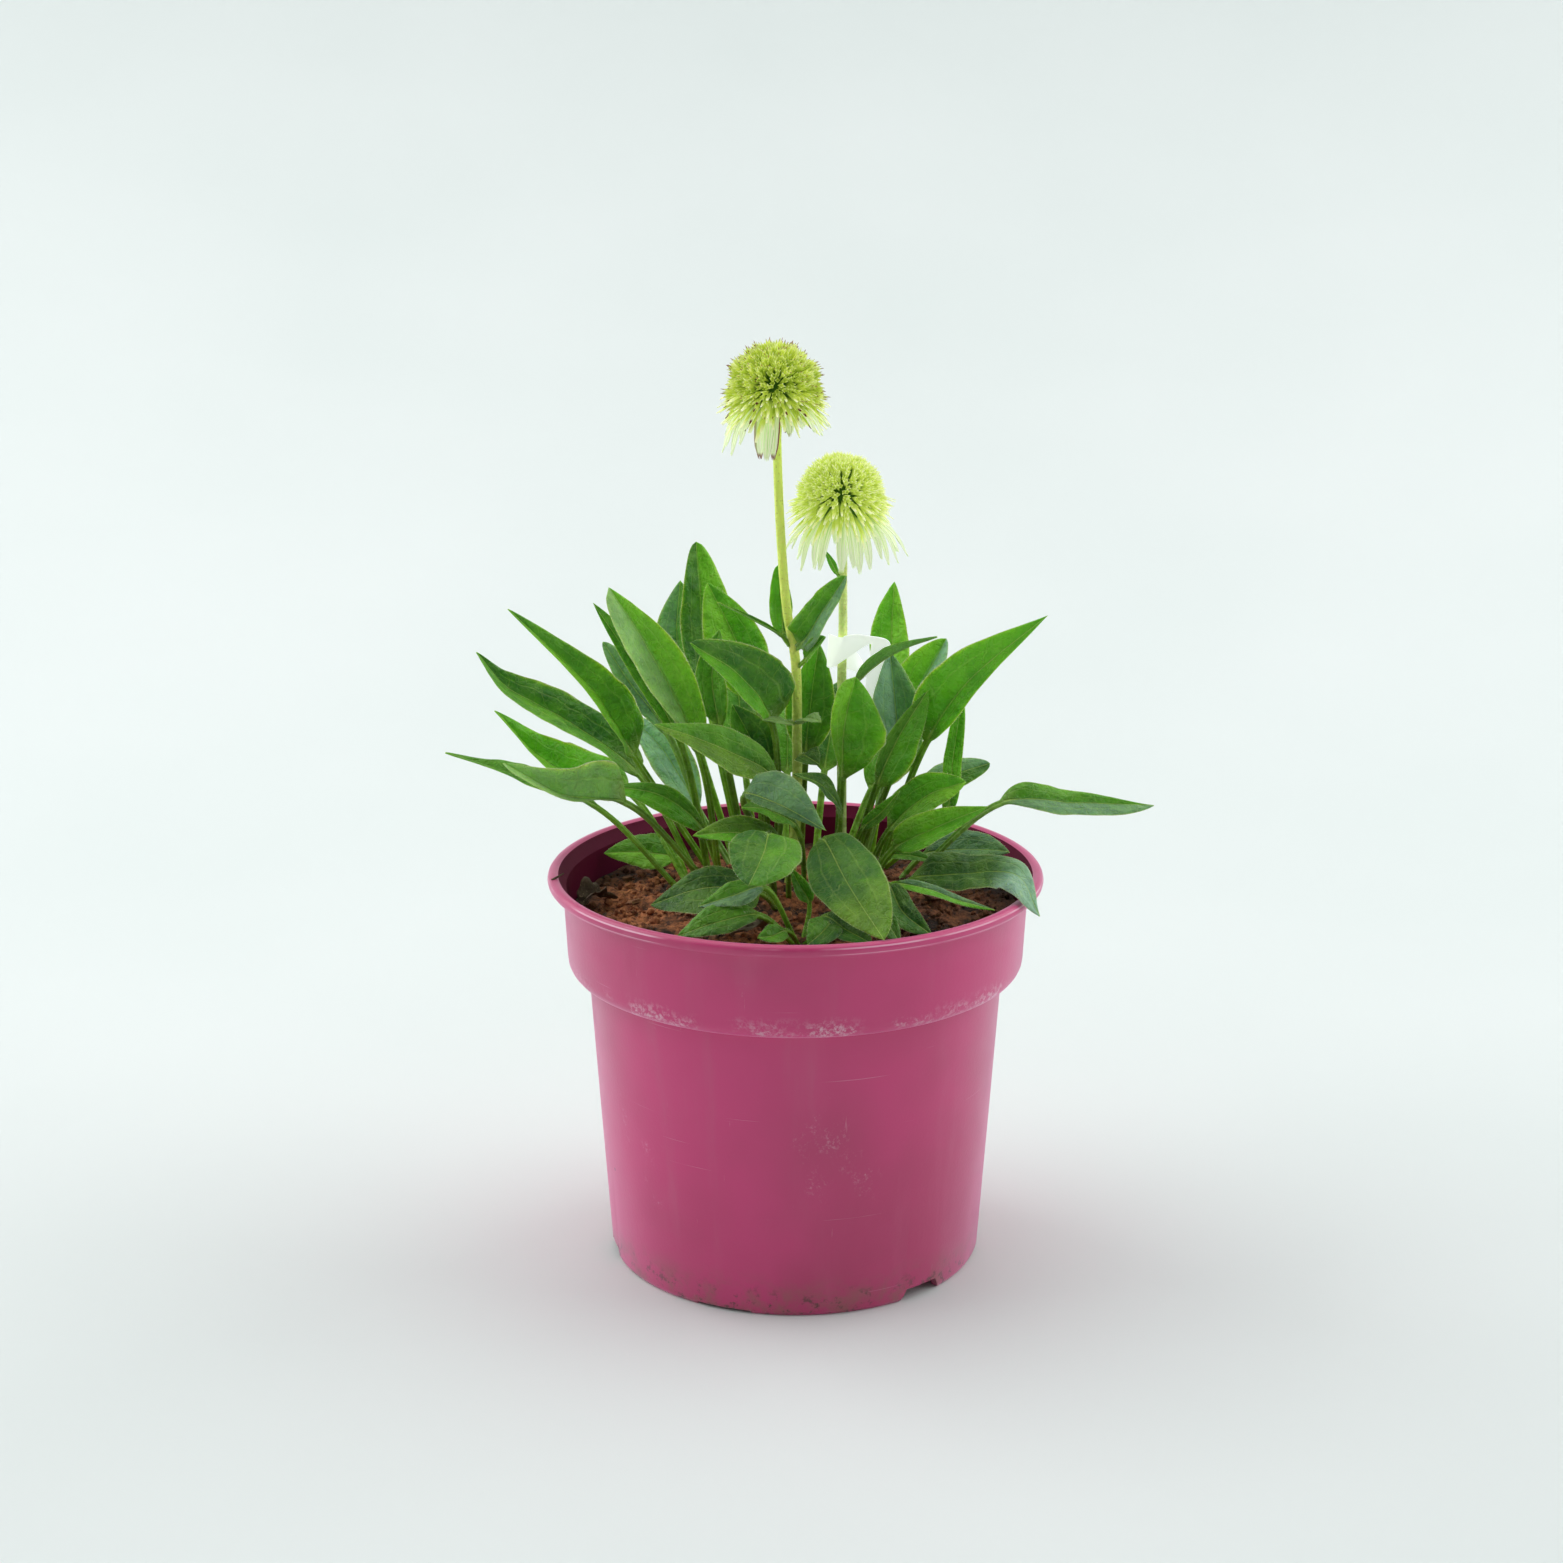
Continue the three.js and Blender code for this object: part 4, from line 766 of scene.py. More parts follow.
# Each leaf's knots along its rib and width in mm, the way it faces, fold, wave, tones and shape.
LEAVES = [
    ("left_1", [(-43, 13, 138), (-76, 14, 173), (-104, 14, 185), (-134.5, 12, 196)], 11, (0, -2, 10), 10, 1,
     ("mid", "mid"), (0.9, 1.3, 0.75, 0.75, 0.8)),
    ("left_2", [(-34, 28, 138), (-65, -2, 180), (-86, -14, 186), (-109, -22, 201)], 25, (2, -7, 7), 35, 1,
     ("pale", "pale"), (0.5, 1.22, 3.2, 0.42, 0.5, 0.9)),
    ("left_3", [(-32, 37, 138), (-62, 14, 194), (-75.5, 8, 219), (-107.6, -2, 255.3)], 22,
     (6, -6, 5), 30, 1,
     ("lime", "mid"), (0.65, 1.1, 0.6, 0.52, 0.8)),
    ("left_4", [(-37, 28, 138), (-61, 30, 182), (-91, 34, 204), (-114, 35, 217.5), (-124, 36, 230)], 26,
     (3, -5, 8), 28, 1,
     ("mid", "deep"), (0.9, 0.85, 0.7, 0.42, 0.85)),
    ("left_5", [(-41, 23, 138), (-67, 44, 172), (-97, 47, 181.5), (-119, 50, 203)], 18, (3, -5, 8), 28, 1,
     ("lime", "fresh"), (0.6, 1.3, 0.7, 0.6, 0.85)),
    ("left_6", [(-29, 20, 138), (-36.5, 0, 198), (-52.6, -8, 237), (-69, -14, 266)], 25, (6, -8, 3), 25, 1,
     ("pale", "lime"), (1.1, 0.85, 1.6, 0.7, 0.45, 0.85)),
    ("left_7", [(-33, 23, 138), (-44, 16, 198), (-59, 13, 227), (-76.5, 10, 255)], 15, (-3, -9, 3), 20, 1,
     ("mid", "mid"), (0.5, 1.2, 0.75, 0.75, 0.8)),
    ("left_8", [(-30, 44, 138), (-50, 46, 194), (-65, 50, 214), (-76, 54, 230)], 14, (2, -9, 3), 15, 1,
     ("mist", "mist"), (0.7, 1, 0.8, 0.8, 0.6)),
    ("left_9", [(-25, 50, 138), (-39, 52, 162), (-53, 58, 185), (-67, 62, 198)], 18, (3, -8, 4), 15, 1,
     ("frost", "frost")),
    ("left_10", [(-29, 36, 138), (-36, 14, 165), (-51, 7, 180), (-73, 8, 184)], 15, (0, -8, 6), 15, 1,
     ("fresh", "mid"), (1, 0.6, 0.75, 0.7, 0.8)),
    ("left_11", [(-43, 36, 138), (-47, 39, 145), (-60, 41, 147), (-76, 40, 147)], 17, (0, -6, 7), 8, 0,
     ("lime", "mid")),
    ("back_1", [(-20, 47, 138), (-34, 44, 209), (-37, 55, 242), (-39, 60, 269)], 19, (3, -9, 1), 15, 2,
     ("deep", "lime"), (1, 1.15, 0.75, 0.85, 0.55)),
    ("back_2", [(-24, 55, 138), (-42, 60, 199), (-47.4, 74, 226), (-46, 80, 249.4)], 24, (-1, -9, 1), 10, 1,
     ("mist", "mid"), (0.8, 1, 0.75, 0.75, 0.8)),
    ("back_3", [(-13, 44, 138), (-15, 28, 213), (-23, 34, 235), (-34, 38, 257)], 29, (2, -9, 2), 12, 1,
     ("lime", "fresh"), (1, 0.72, 0.75, 0.75, 0.75)),
    ("back_4", [(-15, 54, 138), (-20, 64, 175), (-22, 75, 196), (-24, 85, 212)], 22, (0, -9, 3), 10, 1,
     ("mid", "deep")),
    ("back_5", [(-4, 54, 138), (-3, 70, 172), (-3, 82, 188), (-4, 94, 197)], 22, (0, -8, 6), 10, 1,
     ("mid", "mid")),
    ("back_6", [(8, 53, 138), (12, 66, 174), (16, 76, 194), (20, 86, 207)], 22, (0, -9, 3), 10, 1,
     ("deep", "mid")),
    ("back_7", [(19, 56, 138), (31, 66, 166), (42, 76, 181), (53, 82, 190)], 20, (-1, -9, 3), 10, 1,
     ("mid", "deep")),
    ("middle_1", [(-7, 20, 138), (-9, -4, 212), (-19, -11, 230), (-39, -18, 246)], 29, (4, -9, 5), 18, 1,
     ("fresh", "deep"), (0.5, 1.1, 0.8, 0.45, 0.7, 0.6)),
    ("middle_2", [(-10, 0, 138), (-7, -14, 191), (-27, -24, 207), (-52, -30, 218)], 19, (2, -7, 7), 15, 1,
     ("olive", "mid"), (1, 0.9, 0.75, 0.75, 0.85)),
    ("middle_3", [(-17, 28, 138), (-29, 14, 206), (-32, 16, 225), (-29, 18, 243)], 14, (-3, -9, 1), 20, 1,
     ("mid", "mid")),
    ("middle_4", [(-12, 23, 138), (-12, 4, 192), (-17, 2, 204), (-24, 0, 218)], 20, (1, -9, 4), 20, 1,
     ("mid", "deep")),
    ("middle_5", [(3, 10, 138), (17, -16, 178), (10, -22, 192), (-1, -26, 198)], 9, (4, -5, 8), 20, 1,
     ("deep", "deep")),
    ("middle_6", [(2, 44, 138), (4, 22, 193), (6, 22, 214), (9, 22, 237)], 20, (1, -9, 1), 15, 1,
     ("fresh", "mid")),
    ("right_1", [(31, 29, 138), (50, 5, 202), (65, -4, 228), (93.5, -10, 254.6)], 22, (-2, -9, 4), 12, 1,
     ("fresh", "fresh"), (1.25, 0.55, 0.6, 0.65, 1.0)),
    ("right_2", [(31, 65, 138), (39.5, 60, 209), (38.9, 72, 231), (40, 78, 249.3)], 17, (-1, -9, 1), 12, 1,
     ("fresh", "lime"), (1.1, 0.82, 0.6, 0.6, 0.8)),
    ("right_3", [(27, 51, 138), (41, 30, 198), (49, 36, 216), (59, 40, 234.5)], 18, (-4, -9, 2), 30, 1,
     ("lime", "frost"), (1.35, 1.05, 0.75, 0.8, 0.6)),
    ("right_4", [(22, 44, 138), (39, 12, 196), (38, 13, 216), (36, 14, 235)], 19, (0, -9, 2), 15, 1,
     ("frost", "mist")),
    ("right_5", [(15, 4, 138), (17.3, -12, 192), (18, -16, 213), (22, -20, 233.5)], 22, (2, -9, 1), 20, 1,
     ("lime", "fresh"), (0.68, 1.45, 2.6, 0.85, 0.35, 0.8)),
    ("right_6", [(21, 27, 138), (31, 0, 186), (39, 0, 205), (50, 0, 223.5)], 21, (-3, -8, 2), 15, 1,
     ("mid", "fresh"), (0.4, 1, 0.75, 0.75, 0.8)),
    ("right_7", [(34, 44, 138), (58.8, 22, 169.2), (61.6, 28, 189.8), (64.9, 32, 211.7)], 9,
     (-1, -9, 1), 10, 0,
     ("fresh", "fresh"), (0.83, 0.83, 0.75, 0.75, 0.4)),
    ("right_8", [(37, 61, 138), (52, 44, 170), (64, 48, 177), (77.8, 52, 180.8)], 13, (-2, -9, 5), 10, 0,
     ("mist", "deep"), (1.1, 0.9, 0.6, 0.9, 0.55)),
    ("right_9", [(26, 20, 138), (36, -4, 170), (49, -8, 184), (64, -12, 191)], 18, (-3, -8, 6), 18, 1,
     ("fresh", "lime"), (1, 1, 0.75, 0.75, 0.65)),
    ("right_10", [(26, -1, 138), (37, -20, 167), (51, -24, 176), (71.5, -28, 186)], 16, (-2, -8, 5), 30, 1,
     ("lime", "fresh"), (1, 1, 0.7, 0.75, 0.9)),
    ("right_11", [(21, 20, 138), (25, -14, 173), (32, -16, 180), (39, -18, 189)], 6, (-3, -9, 3), 20, 0,
     ("fresh", "mid")),
    ("right_12", [(34, -2, 138), (78, -6, 181), (105, -6, 181), (136, -6, 180)], 15, (1, -6, 8), 12, 1,
     ("mid", "mist"), (0.95, 1.05, 0.5, 1.1, 1.1, 0.7)),
    ("right_13", [(40, 28, 138), (51, 28, 150), (68, 22, 154), (83, 12, 156)], 18, (0, -6, 8), 8, 0,
     ("blue", "blue")),
    # right_14's tip turns pale blue green where it bends over the rim: a painted sheen of light.
    ("right_14", [(34, -8, 138), (44, -26, 157), (62, -30, 160), (81, -36, 162), (90, -46, 149)], 25,
     (1, -5, 9), 10, 1,
     ("dim", "dim", "frost"), (0.9, 1.1, 0.5, 1.1, 1, 0.8)),
    ("right_16", [(30, 15, 138), (34, -10, 161), (43, -12, 162), (53, -14, 160)], 7, (0, -5, 8), 20, 0,
     ("mid", "mid")),
    ("front_3", [(13, -2, 138), (10, -34, 175), (19, -62, 166), (31, -88, 154)], 29, (-3, -7, 8), 8, 1,
     ("deep", "deep", "olive"), (0.95, 0.85, 1.05, 0.8, 0.6, 0.85)),
    ("front_4", [(-8, -6, 138), (-10, -48, 181), (-12, -64, 178), (-17, -76, 170.5)], 28, (0, -7, 7), 5, 1,
     ("mid", "deep"), (1, 0.93, 0.9, 0.9, 0.55)),
    ("front_5", [(-2, 20, 138), (-19, -28, 190.7), (-6, -38, 189.5), (11, -46, 182)], 20, (1, -9, 4), 15, 1,
     ("mist", "blue"), (1.18, 0.35, 0.8, 0.75, 1.1, 0.9)),
    ("front_6", [(-2, -9, 138), (-6, -27, 172), (-21, -32, 177), (-38, -39, 178)], 13, (0, -7, 7), 15, 1,
     ("fresh", "olive")),
    ("front_7", [(4, -3, 138), (0, -24, 177), (-10, -27, 184), (-20, -33, 187)], 11, (1, -6, 8), 20, 1,
     ("fresh", "mid")),
    ("front_8", [(-6, -12, 138), (-14, -36, 155), (-33, -40, 158), (-54, -36, 150)], 24, (0, -6, 8), 10, 1,
     ("dim", "dim"), (1.2, 0.72, 0.75, 0.75, 0.8)),
]
for name, *form in LEAVES:
    keep(blade(f"blade_{name}", *form), green, "leaf", f"leaf_{name}")

# Young shoots in front of the crown: small, dark, smooth leaves that share one root each. Their rows
# read like the basal leaves', without a name.
SHOOTS = {
    "shoot_front": [
        ([(0.8, -47, 137), (-14, -60, 154), (-29, -66, 153), (-43.2, -66, 147.8)], 20, (0, -6, 8), 10, 1,
         ("deep", "mid"), (0.6, 0.73, 0.75, 0.75, 0.8)),
        ([(1.2, -47.2, 137.2), (-11.7, -55, 163), (-22.3, -58, 161), (-35.6, -61, 157.5)], 11,
         (0, -6, 8), 8, 1,
         ("mist", "mid")),
        ([(1.9, -47.6, 137.3), (-4, -66, 150), (-9, -72, 150), (-14, -74, 150)], 9, (0, -6, 8), 15, 0,
         ("mid", "mid")),
        ([(2.6, -46.8, 136.8), (12, -64, 152), (9, -72, 151), (4, -76, 148)], 13, (1, -5, 8), 15, 0,
         ("deep", "mid")),
        ([(3.6, -46.2, 137.2), (10, -56, 152), (18, -68, 151), (27, -78, 149)], 16, (0, -5, 8), 15, 0,
         ("dim", "deep")),
        ([(2.2, -45.4, 137.5), (5, -40, 152), (2, -40, 158), (-2, -41, 166)], 7, (3, -9, 1), 20, 0,
         ("mid", "fresh")),
    ],
    "shoot_right": [
        ([(28, -12, 138), (34, -46, 161), (38.9, -60, 155.1), (49, -72, 150)], 17, (-1, -6, 7), 12, 1,
         ("dim", "deep"), (0.62, 0.9, 0.75, 0.75, 0.8)),
        ([(26.8, -12.7, 137.4), (29.5, -58, 157), (33.6, -71, 153.6), (37, -78.5, 149.5)], 12,
         (0, -6, 7), 12, 0,
         ("deep", "deep"), (0.6, 0.9, 0.75, 0.75, 0.8)),
        ([(29.4, -11.5, 137.6), (36.5, -45, 161.1), (49.1, -50, 160.5), (60.2, -50, 156.1),
          (73, -50, 152.6)], 10, (0, -5, 8), 20, 0.5,
         ("mist", "fresh"), (0.5, 0.75, 0.6, 0.6, 0.7)),
    ],
}
for name, forms in SHOOTS.items():
    small = [blade(f"{name}_{k}", *form) for k, form in enumerate(forms)]
    keep(joined(small[0], *small[1:]), green, "leaf", name)
    small[0].name = f"blades_{name}"

# Flowering stems: pale, ribbed and bristly, flecked with purple, with small leaves that clasp them.
# Each has its knots, its radius at the foot and under the bloom, and the rows of its leaves.
STEMS = {
    "stem_1": (
        [(-3, 6, 137), (0.4, 4, 175), (0.6, 4, 205), (0, 4, 234), (-3.3, 4, 254), (-6, 4, 290),
         (-7.4, 4, 332)],
        (2, 1.6),
        [
            ([(-1.2, 4, 239), (-5, 2, 244), (-16, -5, 252), (-29, -12, 260)], 7, (2, -6, 8), 40, 0,
             ("mid", "deep"), (0.8, 0.35, 0.75, 0.75, 0.8)),
            ([(-2.2, 4.6, 240), (-4.4, 8, 243), (-5.4, 12, 255), (-6.6, 13, 269)], 9, (1, -9, 1), 15, 1.5,
             ("fresh", "mid"), (1.1, 0.9, 0.8, 0.8, 0.5)),
            ([(-0.8, 4.2, 239), (1.6, 1.6, 240.6), (9.6, -6, 254.6), (18.6, -12, 270)], 15,
             (-4, -8, 3), 25, 1,
             ("mid", "mist"), (1.05, 0.85, 0.5, 0.7, 0.5)),
            ([(0.2, 4.2, 231), (3.4, 0.6, 235), (7, -4, 241), (11, -8, 246)], 7, (-3, -7, 5), 30, 0,
             ("mid", "mid"), (1, 1, 0.9, 0.9, 0.5)),
            ([(0, 4.2, 210), (-2.5, 0, 211), (-7, -6, 212.8), (-12.5, -9, 214.5)], 9, (0, -3, 9), 15, 0,
             ("pale", "pale")),
            ([(0.4, 4.2, 210), (2, 0, 211.5), (5.5, -6, 213.8), (9.5, -9, 213.4)], 9, (0, -3, 9), 15, 0,
             ("pale", "pale")),
            ([(0.9, 4.2, 195), (3, 0, 198), (5, -3, 198), (9, -6, 196)], 11, (0, -5, 8), 15, 0,
             ("deep", "deep")),
        ]),
    "stem_2": (
        [(18, 16, 137), (18, 16, 180), (17.8, 16, 225), (18.1, 16, 244), (18, 16, 266), (18.4, 16, 288.1)],
        (1.9, 1.5),
        [
            ([(18, 16, 262), (16, 14.6, 265), (13.5, 13, 270), (11, 12, 275)], 3, (2, -8, 3), 10, 0,
             ("fresh", "fresh")),
            ([(17.8, 16, 220), (23, 10, 225), (36, 3, 237), (53, -3, 245)], 9, (3, 2, 8), 20, 0,
             ("brown", "mid")),
        ]),
}
STEM_ROWS = 90
SWELLING_ROWS = 5
STEM_HAIRS = 1100
for name, (points, (low_radius, top_radius), forms) in STEMS.items():
    centres, along = course(points, np.linspace(0, 1, STEM_ROWS + 1))
    side = np.cross(along, (0, 1, 0))
    side /= lengths_of(side)
    front = np.cross(side, along)
    stem = ringed_tube(f"bristly_{name}", 20, STEM_ROWS)
    runs = []
    for corner in stem.data.vertices:
        i = round((corner.co.z + 0.5) * STEM_ROWS)
        turn = math.atan2(corner.co.y, corner.co.x)
        radius = low_radius + (top_radius - low_radius) * i / STEM_ROWS
        radius *= 1 + 0.05 * math.cos(7 * turn) + 0.04 * noise.noise(Vector((i * 0.4, turn, 2)))
        if i > STEM_ROWS - SWELLING_ROWS:
            radius *= 1 + 0.12 * (i - STEM_ROWS + SWELLING_ROWS)
        spot = centres[i] + radius * (side[i] * math.cos(turn) + front[i] * math.sin(turn))
        runs.append((i * 2.0, turn * 2, 7.0))
        corner.co = Vector(spot) * MM
    write(stem.data, "leaf", "FLOAT_VECTOR", np.tile((ON_STEM, 0, 0), (len(runs), 1)))
    write(stem.data, "flat", "FLOAT_VECTOR", runs)
    write(stem.data, "tone", "FLOAT_COLOR", np.tile(TONES[name], (len(runs), 1)))
    luck = random.Random(len(name) + int(low_radius * 10))
    roots, ways, lengths = [], [], []
    for k in range(STEM_HAIRS):
        i = luck.randrange(10, STEM_ROWS)
        turn = luck.uniform(0, 2 * math.pi)
        out = side[i] * math.cos(turn) + front[i] * math.sin(turn)
        roots.append(centres[i] + (centres[i] - centres[i - 1]) * luck.random() + out * top_radius * 0.95)
        ways.append(out + along[i] * luck.uniform(-0.2, 0.5))
        lengths.append(luck.uniform(0.4, 1.0))
    small = [blade(f"{name}_{k}", *form) for k, form in enumerate(forms)]
    stem = joined(stem, bristles(roots, ways, lengths, 0.05, TONES["hair"]), *small)
    shade(stem, 60)
    keep(stem, green, "stem", name)

# Blooms: a dome of tube florets that stand out from a green cone like fur, long drooping strap
# florets round its foot, and under them the rays: thin cream straps with toothed ends and two folds.
# The middle of each dome, where its florets point, and then for each ray its bearing, reach, drop,
# breadth and how far its edge is browned (less than 0 for the left edge).
BLOOMS = {
    "bloom_1": ((-7.4, 4, 339.3), (-0.5, 0, -1.9), [
        (-78, 20, 24.8, 3.8, 0), (-68, 19.5, 22, 3.4, 0), (-58, 19.5, 24.8, 3.8, 0),
        (-44, 18.5, 20.5, 3.4, 0), (-25, 16, 25.4, 5.2, -0.7), (-11, 15.5, 26.2, 5, 0.2),
        (-1, 14.6, 26, 4, 1), (15, 15, 17.5, 3.6, 0.3), (31, 17, 14.6, 3.4, 0),
        (47, 19, 16, 3, 0), (60, 20, 17.6, 3, 0), (72, 20.5, 15.5, 2.8, 0.2),
        (92, 19, 16, 3.4, 0), (116, 17, 16, 3.6, 0), (140, 17, 18, 3.6, 0), (163, 18.5, 21, 3.4, 0),
        (186, 19, 24, 3.6, 0), (208, 19, 21, 3.6, 0), (232, 19, 24, 3.4, 0), (255, 19.5, 20, 3.6, 0)]),
    "bloom_2": ((18.4, 16, 295.4), (-1.4, 0, 0.3), [
        (-84, 20, 18, 2.6, 0), (-68, 19.4, 22.5, 3.6, 0), (-58, 19.5, 26.5, 3.4, 0), (-42, 18.3, 25, 4.4, 0),
        (-30, 17.5, 25.5, 4.2, 0), (-15, 12, 16, 3, 0), (-4, 16, 26, 4.8, 0), (8, 17, 24.5, 4.2, 0),
        (19, 17.5, 26.5, 4, 0), (30, 18, 25, 4, 0), (42, 19, 21.5, 3.2, 0), (55, 20, 24, 3.6, 0),
        (69, 21, 20, 3.2, 0), (84, 21, 18, 3, 0), (102, 20, 22, 3.2, 0), (121, 19, 25, 3.6, 0),
        (140, 19, 23, 3.4, 0), (160, 18.5, 25.5, 3.6, 0), (180, 18, 24, 3.4, 0), (200, 18.5, 25, 3.6, 0),
        (220, 19, 22, 3.6, 0), (240, 19.5, 25, 3.4, 0), (258, 20, 21, 3.6, 0),
        (-64, 25, 20, 1.7, 0), (63, 26.5, 20.5, 1.8, 0), (54, 25, 22.5, 1.6, 0)]),
}
TUBES = 560
STRAPS = 180
GOLDEN = math.radians(137.508)
CONE = [(0.5, -8.5), (7.5, -8.2), (9.6, -5), (10.2, -1), (9.6, 3.5), (7.6, 7.4), (4.4, 9.8), (0.5, 10.8)]
CUP = [(2, -9.6), (6.5, -9.3), (8, -8.6), (8.2, -7.6), (6, -7)]
RAY_ROWS = 16

floret = ringed_tube("floret", 8, 4)
for corner in floret.data.vertices:
    turn = math.atan2(corner.co.y, corner.co.x)
    rise = corner.co.z + 0.5
    radius = (0.32, 0.38, 0.45, 0.6, 0.92)[round(rise * 4)]
    lobe = math.cos(4 * turn)
    if rise > 0.9:
        rise += 0.1 * lobe + 0.08 * math.cos(turn) - 0.1
        radius *= 1 + 0.25 * lobe
    corner.co = (radius * math.cos(turn) + 0.5 * rise ** 2 - 0.15, radius * math.sin(turn), rise)
select_only(floret)
for face in floret.data.polygons:
    face.select = len(face.vertices) == 8 and face.center.z > 0.5
bpy.context.tool_settings.mesh_select_mode = (False, False, True)
bpy.ops.object.mode_set(mode="EDIT")
bpy.ops.mesh.inset(thickness=0.14)
bpy.ops.transform.translate(value=(-0.05, 0, -0.34))
bpy.ops.object.mode_set(mode="OBJECT")
strap_floret = ringed_tube("strap_floret", 6, 6)
for corner in strap_floret.data.vertices:
    turn = math.atan2(corner.co.y, corner.co.x)
    rise = corner.co.z + 0.5
    breadth = (0.45, 0.6, 0.78, 0.95, 1.0, 0.9, 0.5)[round(rise * 6)]
    teeth = -0.08 if abs(math.cos(turn)) > 0.9 else 0.03
    corner.co = (0.5 * breadth * math.cos(turn), -0.16 * rise ** 2 + 0.013 * math.sin(turn),
                 rise + (teeth if rise > 0.95 else 0))

# A floret's seed is below 1 on the taller bloom, 1.01 more where its tip has turned brown, and 4 more
# on the paler, lower bloom and on the straps; what is left over one is its luck.
BROWNED = 1.01
PALE = 4
# The florets glow faintly in their own colour: painted light, for the light that shines through them.
lime = Finish("floret", Roughness=0.55, Subsurface_Weight=0.35, Subsurface_Radius=(0.8, 1.0, 0.2),
              Subsurface_Scale=0.0015, Specular_IOR_Level=0.2, Emission_Strength=0.16)
share, seed = lime.attribute("share", "Fac"), lime.attribute("seed", "Fac")
turned_brown = lime.times(lime.band(seed, 1.0, 1.01), lime.band(seed, 2.01, 2.0))
is_pale = lime.band(seed, 3.9, 3.99)
luck_share = lime.math("FRACT", seed)
stalk_green = lime.mix(luck_share, srgb(160, 184, 52), srgb(220, 234, 104))
stalk_green = lime.mix(lime.times(is_pale, 0.85), stalk_green, srgb(216, 232, 116))
colour = lime.mix(lime.band(share, 0.05, 0.5), srgb(60, 100, 20), stalk_green)
tip = lime.mix(luck_share, srgb(214, 226, 122), srgb(242, 246, 184))
tip = lime.mix(is_pale, tip, srgb(248, 252, 196))
colour = lime.mix(lime.band(share, 0.7, 0.97), colour, tip)
colour = lime.mix(lime.times(turned_brown, lime.band(share, 0.82, 0.93)), colour, srgb(88, 30, 34))
lime.wire("Base Color", colour)
lime.wire("Emission Color", colour)
lime.bump(lime.noise(lime.place(), 1500.0, 2.0), 0.2, 0.0002)

# The rays glow faintly in their own colour too: painted light, for the light that shines through them.
petal = Finish("cream_ray", Roughness=0.55, Subsurface_Weight=0.35, Subsurface_Radius=(0.9, 1.0, 0.6),
               Subsurface_Scale=0.0015, Specular_IOR_Level=0.25, Emission_Strength=0.24)
where = petal.attribute("leaf")
reach_share, breadth_share, edged = [petal.part(where, axis) for axis in range(3)]
stripe = petal.patches(0.42, 0.62, petal.stretched(where, (0.5, 4, 9)), 1.3, 2.0)
colour = petal.mix(petal.band(reach_share, 0.05, 0.5), srgb(190, 212, 112), srgb(238, 246, 212))
colour = petal.mix(petal.times(stripe, 0.65), colour, srgb(172, 204, 118))
middle = petal.band(petal.math("ABSOLUTE", breadth_share), 0.16, 0.04)
middle = petal.times(middle, petal.band(reach_share, 0.9, 0.5))
colour = petal.mix(petal.times(middle, 0.35), colour, srgb(158, 194, 104))
hand = petal.times(breadth_share, petal.math("SIGN", edged))
browning = petal.math("ABSOLUTE", edged)
rim = petal.times(petal.band(hand, 0.66, 0.92), browning, petal.band(reach_share, 0.2, 0.5))
end = petal.times(petal.band(reach_share, 0.93, 1.0), petal.band(browning, 0.1, 0.6))
colour = petal.mix(petal.most(rim, end), colour, srgb(122, 62, 66))
petal.wire("Base Color", colour)
petal.wire("Emission Color", colour)
petal.bump(petal.noise(petal.stretched(where, (1, 12, 1)), 1.0, 2.0), 0.4, 0.0004)


def spun_at(name, profile, centre):
    """A small body of revolution whose profile counts from a place in mm."""
    body = spun(name, profile, 24)
    for corner in body.data.vertices:
        corner.co += Vector(centre) * MM
    return body


def thicken(sheet, thickness):
    """Gives a sheet its thickness in mm, half of it to each side."""
    select_only(sheet)
    bpy.ops.object.modifier_add(type="SOLIDIFY")
    sheet.modifiers[0].thickness = thickness * MM
    sheet.modifiers[0].offset = 0
    bpy.ops.object.modifier_apply(modifier=sheet.modifiers[0].name)


